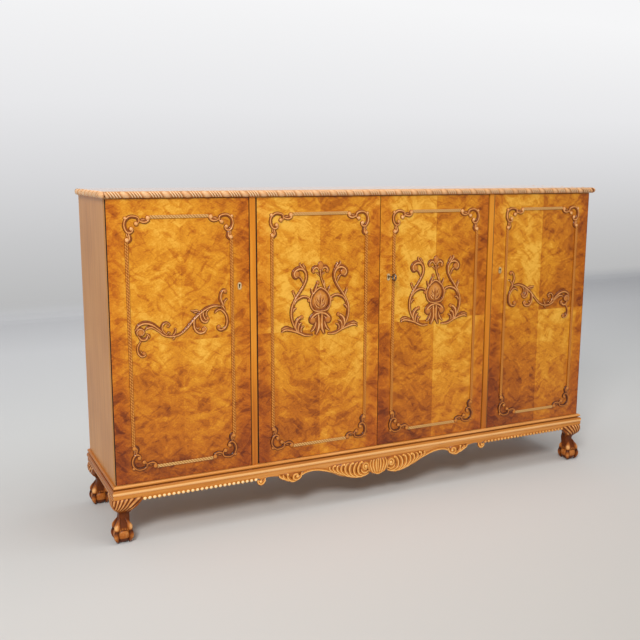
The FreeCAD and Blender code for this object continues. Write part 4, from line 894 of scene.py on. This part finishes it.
APRON_PAIRS = [
    # line, widths and height of each stroke right of the apron's middle, in mm across and above the floor
    ([(8, 152), (12, 132), (9, 108), (5, 96)], [5, 9, 9, 5], 4.0),
    ([(19, 152), (25, 134), (20, 110), (13, 97)], [5, 8, 9, 5], 4.4),
    ([(30, 152), (37, 136), (32, 114), (23, 99)], [4, 7, 8, 5], 4.6),
    ([(38, 106), (44, 138), (58, 145), (68, 134), (64, 121), (53, 119), (47, 127)], [4, 7, 8, 8, 7, 5], 5.0),
    ([(40, 103), (62, 98), (82, 108), (86, 126), (78, 144), (70, 151)], [4, 8, 9, 9, 8, 4], 4.8),
    ([(42, 112), (56, 107), (68, 112), (74, 122)], [4, 8, 7, 3], 4.2),
    ([(52, 98), (78, 95), (98, 106), (104, 124), (98, 142), (88, 152)], [4, 8, 9, 9, 8, 4], 4.8),
    ([(72, 94), (98, 97), (116, 110), (122, 128), (118, 144), (108, 153)], [4, 8, 9, 9, 8, 4], 4.8),
    ([(92, 94), (118, 102), (136, 118), (141, 134), (136, 147), (127, 153)], [4, 8, 9, 9, 7, 4], 4.6),
    ([(114, 98), (136, 108), (154, 124), (158, 138), (152, 149), (144, 153)], [4, 8, 8, 8, 7, 4], 4.6),
    ([(136, 106), (156, 117), (172, 132), (174, 144), (166, 152)], [4, 7, 8, 7, 4], 4.4),
    ([(158, 114), (176, 125), (190, 138), (190, 148), (182, 153)], [4, 7, 7, 6, 4], 4.2),
    ([(178, 123), (196, 133), (206, 144), (203, 152)], [4, 6, 6, 4], 4.0),
    ([(196, 130), (226, 142), (262, 150), (296, 149), (320, 140)], [5, 7, 7, 7, 6], 3.6),
    ([(318, 148), (324, 133), (338, 126), (350, 131), (348, 142), (338, 144), (333, 138)],
     [4, 7, 8, 8, 7, 5], 4.6),
    ([(336, 122), (356, 122), (370, 132), (376, 148)], [4, 8, 8, 4], 4.4),
    ([(352, 123), (374, 128), (388, 138), (392, 150)], [4, 7, 8, 4], 4.2),
    ([(370, 130), (388, 135), (402, 143), (408, 151)], [4, 7, 7, 4], 4.0),
    ([(462, 150), (466, 138), (476, 131), (486, 136), (488, 146)], [4, 8, 9, 8, 4], 4.6),
    ([(474, 148), (478, 142), (484, 142)], [3, 6, 3], 4.4),
]
APRON_MIDDLE = [([(-24, 101), (0, 96), (24, 101)], [4, 9, 4], 5.2, 0.1),
                ([(0, 153), (0, 130), (0, 96)], [6, 9, 5], 3.6)]
APRON_FULLNESS = 1.3
APRON_BUDS = [((54, 130), 8, 5.6, 0.95), ((336, 136), 6.5, 5.2, 0.95), ((479, 139), 5.5, 5.0, 0.95),
              ((72, 149), 5.5, 5.0, 0.9), ((110, 150), 5, 4.8, 0.9), ((146, 150), 5, 4.8, 0.9),
              ((184, 151), 4.5, 4.6, 0.9), ((374, 148), 5, 4.6, 0.9)]
APRON_BEDS = [
    # the sunk grounds behind the leaves on the right half, in painted shade
    [(0, 154), (40, 155), (90, 156), (150, 156), (190, 156), (207, 153), (206, 146), (194, 135),
     (176, 126), (156, 117), (135, 109), (114, 101), (94, 97), (74, 97), (54, 100), (40, 104), (26, 102),
     (12, 99), (0, 98)],
    [(318, 152), (350, 154), (408, 153), (402, 145), (386, 137), (370, 132), (352, 126), (338, 125),
     (326, 132)],
]
APRON_BED_TOP = 0.6
APRON_BED_SHADE = 0.12
# round a bead: share of its size, rise and painted light, with a painted highlight on top
BEAD = [(1.0, 0.0, 0.1), (0.95, 0.45, 0.4), (0.7, 0.8, 0.9), (0.35, 1.0, 1.0)]
# half width, half height and rise of a bead, in mm
BEAD_SIZE = (7.2, 6.4, 4.6)
BEAD_POINTS = 10
BEAD_LINE = 0.149
BEAD_INNER = 0.494
BEAD_GAP = 0.001
BEAD_PITCH = 0.0165
# painted shade: the right row is darker than the left one
SHADED_BEADS = 0.62
BEAD_FILLET = [(0.6, 160), (0.6, 147), (2.5, 144.5), (8, 144.5), (9, 160)]
BEAD_FILLET_TONE = 0.35


def apron_carving(carved):
    """Leaves, flutes and scrolls on the apron's face."""
    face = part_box("front_apron")[0].y
    strokes = [(line, [width * APRON_FULLNESS for width in widths], height)
               for line, widths, height in APRON_PAIRS]
    work = Carving()
    for side in (1, -1):
        work.bench = flat_bench(0, face, 0, side)
        work.carve(strokes, APRON_BUDS)
        for outline in APRON_BEDS:
            work.loft([[(work.bench(spot, rise), APRON_BED_SHADE) for spot in outline]
                       for rise in (-BED, APRON_BED_TOP)])
    work.bench = flat_bench(0, face, 0)
    work.carve(APRON_MIDDLE, [])
    add_to("front_apron", work.piece("front_apron.carving", carved))


def bead_rows(pale):
    """A bead row along each of the apron's plain ends."""
    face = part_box("front_apron")[0].y
    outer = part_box("right_front_foot")[0].x
    count = int((outer - BEAD_INNER) / BEAD_PITCH) + 1
    first = outer - BEAD_PITCH / 2
    wide, tall, proud = BEAD_SIZE
    work = Carving()
    # the right row takes painted shade
    for start, polish in ((first - (count - 1) * BEAD_PITCH, SHADED_BEADS), (-first, 1.0)):
        bead = Carving(flat_bench(0, face, 0))
        rows = []
        for share, level, shade in BEAD:
            ring = [(math.cos(turn) * wide * share, math.sin(turn) * tall * share)
                    for turn in circle(BEAD_POINTS)]
            rows.append([(bead.bench(spot, proud * level - BED), shade * polish) for spot in ring])
        bead.loft(rows)
        work.take(row_of(bead, count, (start, 0, BEAD_LINE), (BEAD_PITCH, 0, 0), pale))
    for side in (-1, 1):
        work.loft([[(Vector((side * x, face + deep * MM, up * MM)), BEAD_FILLET_TONE)
                    for deep, up in BEAD_FILLET] for x in (outer - BEAD_GAP, BEAD_INNER)])
    add_to("front_apron", work.piece("front_apron.beads", pale))


# Claw-and-ball feet

LEG = [
    # height, half width and middle of the leg in from the case's corner, in mm, from the top down
    (168, 24, 21), (157, 24, 21), (155, 28, 17), (149, 30, 15.5), (138, 30.5, 15), (126, 29, 15.5),
    (116, 25, 18.5), (106, 20.5, 24), (96, 18.5, 27), (84, 18.8, 26.5), (74, 20, 24.5), (65, 22.5, 22.5),
    (57, 25.5, 21),
]
KNEE_TOP = 155
LEG_POINTS = 144
# place, height and radius of the ball in from the case's corner
BALL = (20, 20, 28, 30.5)
# lower edge of the skin over the ball, the rise of its arches and its thickness, in mm
WEB = (39, 10, 3.2)
WEB_STEPS = (0.25, 0.5, 0.75, 1.0)
BALL_STEPS = 14
TOE_POINTS = 12
TOE = [
    # distance out from the ball's middle, height, width, thickness and painted light (highlights on the
    # knuckles, painted shade in the creases), from the ankle to the claw's tip
    (12, 86, 7, 6, 0.3), (18, 76, 12, 9, 0.45), (24, 66, 17, 13, 0.7), (29, 56.5, 21, 17, 1.0),
    (31, 48, 19, 15, 0.85), (32.5, 41.5, 14, 12, 0.05), (34.5, 35, 17, 14, 0.45), (35.5, 26, 19, 15, 0.8),
    (33.5, 17, 16.5, 13, 0.7), (29, 8, 11, 9, 0.5), (24.5, 2.2, 5, 4, 0.25),
]
BRACKET = [(40, 97), (46, 100), (55, 112), (64, 123), (74, 134), (84, 145)]
BRACKET_FACE = -11.5
BRACKET_BACK = 8.8
BRACKET_STEPS = 22
# where a bracket leaves the leg, and the length over which its rim sinks back, in mm
BRACKET_ROOT = (40, 44)
# width of a bracket's plain rim, and of the slope behind it, in mm
RIM = (6, 5)
# where the knee's flutes fan out from, in mm in from the case's corner and above the floor
FAN_FOOT = (-26, 66)
# the height where the flutes start, and how far they take to reach their depth, in mm
FLUTES_START = (103, 12)
FLUTE_TURN = math.radians(7.4)


def knee_flutes(reach, height):
    """How proud the knee's carving stands, and its painted light: flutes that fan out from the foot of the
    knee, with painted highlights on their crests and painted shade between them.
    """
    turn = math.atan2(reach - FAN_FOOT[0], height - FAN_FOOT[1])
    lobe = abs(math.sin(math.pi * turn / FLUTE_TURN)) ** 0.8
    fade = clamp((height - FLUTES_START[0]) / FLUTES_START[1])
    top = clamp((KNEE_TOP + 0.5 - height) / 2)
    return (lobe * 2.8 - 1.8) * fade * top, 0.3 + (lobe * 0.95 - 0.3) * fade


def rounded_square(turn, half):
    """A point on a square with rounded corners, at a turn about its middle."""
    x, y = math.cos(turn), math.sin(turn)
    stretch = half / (abs(x) ** 4.5 + abs(y) ** 4.5) ** (1 / 4.5)
    return Vector((x * stretch, y * stretch))


def foot_carving(work):
    """One foot from the case's corner inwards: fluted knee and brackets, ankle, claws and ball."""
    turns = circle(LEG_POINTS)
    x, y, z, radius = BALL
    web, arch, skin = WEB
    ankle, ankle_half = LEG[-1][:2]

    def about_ball(turn, out, height):
        return work.bench(x + math.cos(turn) * out, y + math.sin(turn) * out, height)
    rows = []
    for height, half, middle in smooth_line(LEG, 4):
        rows.append([])
        for turn in turns:
            spot = rounded_square(turn, half)
            proud, shade = knee_flutes(max(spot) + middle, height)
            spot += spot.normalized() * proud
            rows[-1].append((work.bench(spot.x + middle, spot.y + middle, height), shade))
    for step in WEB_STEPS:
        rows.append([])
        for turn in turns:
            low = web + arch * abs(math.cos(2 * turn)) ** 1.5
            height = ankle + (low - ankle) * step
            over = math.sqrt(max((radius + skin) ** 2 - (height - z) ** 2, 0.0))
            knee = rounded_square(turn, ankle_half).length
            vein = abs(math.sin(turn * 10)) * step
            out = knee + (max(over, knee) - knee) * step + vein * 0.8
            # the web's veins carry a painted highlight
            rows[-1].append((about_ball(turn, out, height), 0.35 + 0.45 * vein))
    # painted shade in the hollow under the web
    rows.append([(about_ball(turn, radius * 0.7, 46), 0.0) for turn in turns])
    work.loft(rows)
    rows = []
    for step in range(BALL_STEPS + 1):
        share = step / BALL_STEPS
        height = share * (z + radius - BED)
        out = math.sqrt(radius ** 2 - (height - z) ** 2)
        # a painted highlight round the ball's middle
        tone = 0.32 + 0.42 * (0.3 < share < 0.75)
        rows.append([(about_ball(turn, out, height), tone) for turn in turns[::4]])
    work.loft(rows)
    for corner in range(4):
        foot_toe(work, math.pi / 4 + corner * math.pi / 2)
    foot_bracket(work, lambda along, out, up: work.bench(along, out, up))
    foot_bracket(work, lambda along, out, up: work.bench(out, along, up))


def foot_toe(work, turn):
    """A gripping toe with two knuckles and a pointed claw."""
    out = Vector((math.cos(turn), math.sin(turn)))
    aside = Vector((-out.y, out.x))
    line = smooth_line([spot[:3] for spot in TOE], 3)
    bulk = smooth_line([(*spot[3:], 0) for spot in TOE], 3)
    rows = []
    for index, (spot, body) in enumerate(zip(line, bulk)):
        ahead = heading(line, index)
        normal = Vector((-ahead.y, ahead.x)).normalized()
        if normal.x < 0:
            normal.negate()
        rows.append([])
        for angle in circle(TOE_POINTS):
            along = normal * math.cos(angle) * body.x / 2
            flat = out * (spot.x + along.x) + aside * (math.sin(angle) * spot.z / 2)
            point = work.bench(BALL[0] + flat.x, BALL[1] + flat.y, max(spot.y + along.y, 0.0))
            # a toe is lighter on its outer side, in painted light
            rows[-1].append((point, body.y * (0.55 + 0.45 * max(math.cos(angle), 0.0))))
    work.loft(rows)


def bracket_face(height):
    """How far in from the case's corner a bracket's face stands at a height: just behind the leg's front."""
    front = 0.0
    for (high, wide, inset), (low, thin, set_in) in zip(LEG, LEG[1:]):
        if low <= height <= high:
            share = (high - height) / (high - low)
            front = (inset - wide) * (1 - share) + (set_in - thin) * share
    return max(BRACKET_FACE, front + 1.5)


def foot_bracket(work, place):
    """A knee bracket: fluted in front like the knee, with a plain rim along its curved lower edge."""
    rows = []
    for spot in smooth_line(BRACKET, 6):
        top = KNEE_TOP + BED
        heights = [spot.y + (top - spot.y) * step / BRACKET_STEPS for step in range(BRACKET_STEPS + 1)]
        near = max(0.0, 1 - (spot.x - BRACKET_ROOT[0]) / BRACKET_ROOT[1])
        row = []
        for height in heights:
            proud, shade = knee_flutes(spot.x, height)
            rim = clamp((height - spot.y - RIM[0]) / RIM[1])
            face = bracket_face(height) + 5 * near * (1 - rim)
            # the plain rim keeps a middle painted light, the flutes their painted highlights and shade
            row.append((place(spot.x, face - proud * rim, height), 0.55 + (shade - 0.55) * rim))
        # the bracket's back is in painted shade
        back = max(BRACKET_BACK, bracket_face(spot.y) + 8)
        rows.append(row + [(place(spot.x, back, height), 0.3) for height in (heights[-1], heights[0])])
    work.loft(rows)


def feet(carved):
    """Four feet under the corners of the base."""
    for end, start, deep in (("front", DOOR_FRONT, 1), ("back", REAR_CORNER, -1)):
        for label, side in (("left", 1), ("right", -1)):
            def bench(x, y, z, side=side, start=start, deep=deep):
                return Vector(((x * MM - CASE_HALF) * side, start + y * deep * MM, z * MM))
            work = Carving(bench)
            foot_carving(work)
            name = label + "_" + end + "_foot"
            dress(name, work.piece(name + ".carved", carved))


FASCIA = [
    # how far out from the case's corner and how high the band stands, in mm, round its section
    (-6, 168), (11.4, 168), (11.4, 158), (11.1, 156.6), (10.2, 155.5), (8.8, 155), (-6, 155),
]


def fascia_bands():
    """A plain band below the base rails, round both ends of the case and over the feet."""
    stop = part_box("front_apron")[1].x
    corners = [(stop, DOOR_FRONT, 0, -1), (CASE_HALF, DOOR_FRONT, 1, -1), (CASE_HALF, REAR_CORNER, 1, 1),
               (stop, REAR_CORNER, 0, 1)]
    for label, side in (("left", -1), ("right", 1)):
        rings = [[(Vector((side * (x + out * across * MM), y + out * deep * MM, up * MM)), 1.0)
                  for out, up in FASCIA] for x, y, across, deep in corners]
        rails = ("front_base_frame", label + "_base_frame", "back_base_frame")
        for rail, like, ends in zip(rails, ("front_apron",) + rails[1:], zip(rings, rings[1:])):
            work = Carving()
            work.loft(ends)
            piece = work.piece(rail + "." + label + "_band", NODES[like].data.materials[0])
            piece.data.shade_flat()
            add_to(rail, piece)


# Nails and screws

# radius and height of a head, in mm
NAIL = (3.2, 0.9)
SCREW = (3.6, 1.6)
NAIL_INSET = 0.01
SEAM_INSET = 0.008
# how far from the end a row starts, in metres, and its count of nails
UPRIGHT_NAILS = (0.03, 9)
LEVEL_NAILS = (0.07, 15)
SCREW_INSET = 0.007


def nail_rows(steel):
    """Rows of nails round the back boards."""
    low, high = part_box("back_panels")
    nail = Carving(flat_bench(0, high.y, 0, out=1))
    nail.boss((0, 0), *NAIL)
    heads = Carving()
    seams = [seam + side * SEAM_INSET for seam in (-BACK_SEAM, BACK_SEAM) for side in (-1, 1)]
    margin, count = UPRIGHT_NAILS
    pitch = (high.z - low.z - margin * 2) / (count - 1)
    uprights = [low.x + NAIL_INSET] + seams + [high.x - NAIL_INSET]
    rows = [(x, low.z + margin, 0, pitch, count) for x in uprights]
    margin, count = LEVEL_NAILS
    pitch = (high.x - low.x - margin * 2) / (count - 1)
    rows += [(low.x + margin, z, pitch, 0, count) for z in (low.z + NAIL_INSET, high.z - NAIL_INSET)]
    for x, z, across, up, count in rows:
        heads.take(row_of(nail, count, (x, 0, z), (across, 0, up), steel))
    add_to("back_panels", heads.piece("back_panels.nail_heads", steel))


def lock_screws(door, steel):
    """Four round-headed screws in a lock case."""
    name = door + "_lock_case"
    low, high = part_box(name)
    work = Carving(flat_bench(0, high.y, 0, out=1))
    for x in (low.x + SCREW_INSET, high.x - SCREW_INSET):
        for z in (low.z + SCREW_INSET, high.z - SCREW_INSET):
            work.boss((x / MM, z / MM), *SCREW)
    add_to(name, work.piece(name + ".screws", steel))


# Floor, light and camera

FLOOR_FRONT = -9.0
WALL_FOOT = 4.2
SWEEP = 0.6
WALL_TOP = 7.0
BACKDROP_HALF = 14
# painted light: the floor gets lighter far off, where the lamps light it less; the wall is a painted glow,
# lighter towards its top
FLOOR_LIGHT_STOPS = shades((0.0, 186, 182, 175), (0.23, 205, 203, 199), (0.49, 219, 219, 217),
                     (0.77, 231, 231, 231), (0.97, 222, 222, 223))
WALL_GLOW_STOPS = shades((0.0, 184, 184, 184), (0.2, 200, 200, 201), (0.4, 217, 217, 219), (0.6, 232, 232, 234),
                    (0.95, 246, 246, 247))
CAMERA_LENS = 47.563
CAMERA_PLACE = (-1.5382, -2.8482, 1.2279)
# yaw, downward pitch and roll, in radians
CAMERA_TURN = (0.4533, 0.1763, 0.0032)


def curved_backdrop():
    """Pale floor with painted light, lighter far off, that sweeps up into a wall with a painted glow, lighter
    towards its top.
    """
    profile = [(FLOOR_FRONT, 0.0), (WALL_FOOT, 0.0)]
    for step in range(1, 9):
        turn = step / 8 * math.pi / 2
        profile.append((WALL_FOOT + SWEEP * math.sin(turn), SWEEP - SWEEP * math.cos(turn)))
    profile.append((WALL_FOOT + SWEEP, WALL_TOP))
    points = [(x, y, z) for y, z in profile for x in (-BACKDROP_HALF, BACKDROP_HALF)]
    faces = [(i, i + 1, i + 3, i + 2) for i in range(0, len(points) - 2, 2)]
    mesh = bpy.data.meshes.new("backdrop")
    mesh.from_pydata(points, [], faces)
    finish = Finish("pale studio paper", {"Roughness": 0.9, "Specular IOR Level": 0.1})
    y, z = finish.place()[1:]
    finish.paint("Base Color", finish.ramp((y + 2) * (1 / 6.5), FLOOR_LIGHT_STOPS))
    glow = finish.node("ShaderNodeEmission", {}, {"Color": finish.ramp(z * (1 / 3), WALL_GLOW_STOPS)})
    rays = [finish.node("ShaderNodeLightPath", {}, {}, "Is " + ray + " Ray")
            for ray in ("Camera", "Glossy", "Transmission")]
    upright = finish.fade(z, 0.0, 0.12) * (rays[0] + rays[1] + rays[2])
    paper = Field(finish, finish.shader.outputs[0])
    mixed = finish.node("ShaderNodeMixShader", {}, {0: upright, 1: paper, 2: glow})
    finish.tree.links.new(mixed.socket, finish.tree.nodes["Material Output"].inputs["Surface"])
    mesh.materials.append(finish.material)
    in_scene(bpy.data.objects.new("backdrop", mesh))


def lamp(name, power, size, place, aim):
    """A soft square studio light."""
    light = bpy.data.lights.new(name, "AREA")
    light.energy = power
    light.size = size
    body = in_scene(bpy.data.objects.new(name, light))
    body.location = place
    body.rotation_euler = (Vector(aim) - Vector(place)).to_track_quat("-Z", "Y").to_euler()


def studio():
    """World light, soft lamps and the camera at the photograph's place."""
    world = bpy.data.worlds.new("soft room")
    world.use_nodes = True
    sky = world.node_tree.nodes["Background"]
    sky.inputs["Color"].default_value = hue(232, 234, 238)
    sky.inputs["Strength"].default_value = 0.5
    bpy.context.scene.world = world
    lamp("front light", 250, 1.6, (-3.2, -4.2, 4.2), (0, 0, 0.6))
    lamp("overhead light", 70, 3.0, (0.6, -0.6, 4.4), (0, 0.2, 0.6))
    camera = bpy.data.cameras.new("camera")
    camera.lens = CAMERA_LENS
    camera.sensor_width = 36
    viewer = in_scene(bpy.data.objects.new("camera", camera))
    yaw, pitch, roll = CAMERA_TURN
    ahead = Vector((math.sin(yaw) * math.cos(pitch), math.cos(yaw) * math.cos(pitch), -math.sin(pitch)))
    viewer.location = CAMERA_PLACE
    viewer.rotation_euler = (ahead.to_track_quat("-Z", "Y") @ Quaternion((0, 0, 1), roll)).to_euler()
    bpy.context.scene.camera = viewer
    bpy.context.scene.view_settings.view_transform = "Standard"


def carved_work():
    """Every carved or reeded piece that stands for a plainer one."""
    carved = carved_wood("stained carving", CARVED_STOPS, GLINTING, 0.2)
    edge = carved_wood("pale carved edge", GADROON_STOPS)
    pale = reed_wood("pale reeds", LIT_REED_STOPS)
    brown = reed_wood("brown reeds", SHADED_REED_STOPS)
    for door in DOOR_VENEERS:
        moulding(door + "_moulding", carved, pale, brown)
    lyre("centre_left_door_ornament", carved)
    lyre("centre_right_door_ornament", carved)
    branch("left_door_ornament", 1, carved)
    branch("right_door_ornament", -1, carved)
    gadroon("front_gadroon", 0, edge)
    gadroon("left_gadroon", -1, edge)
    gadroon("right_gadroon", 1, edge)
    apron_carving(carved_wood("amber carving", APRON_STOPS))
    bead_rows(carved_wood("pale beads", BEAD_STOPS))
    feet(carved_wood("dark foot carving", FOOT_STOPS, DULL))
    fascia_bands()
    steel = metal("bright screw steel", hue(176, 168, 152), 0.3, hue(116, 106, 94))
    nail_rows(steel)
    for door in ("left_door", "centre_right_door", "right_door"):
        lock_screws(door, steel)


finish_nodes()
carved_work()
curved_backdrop()
studio()
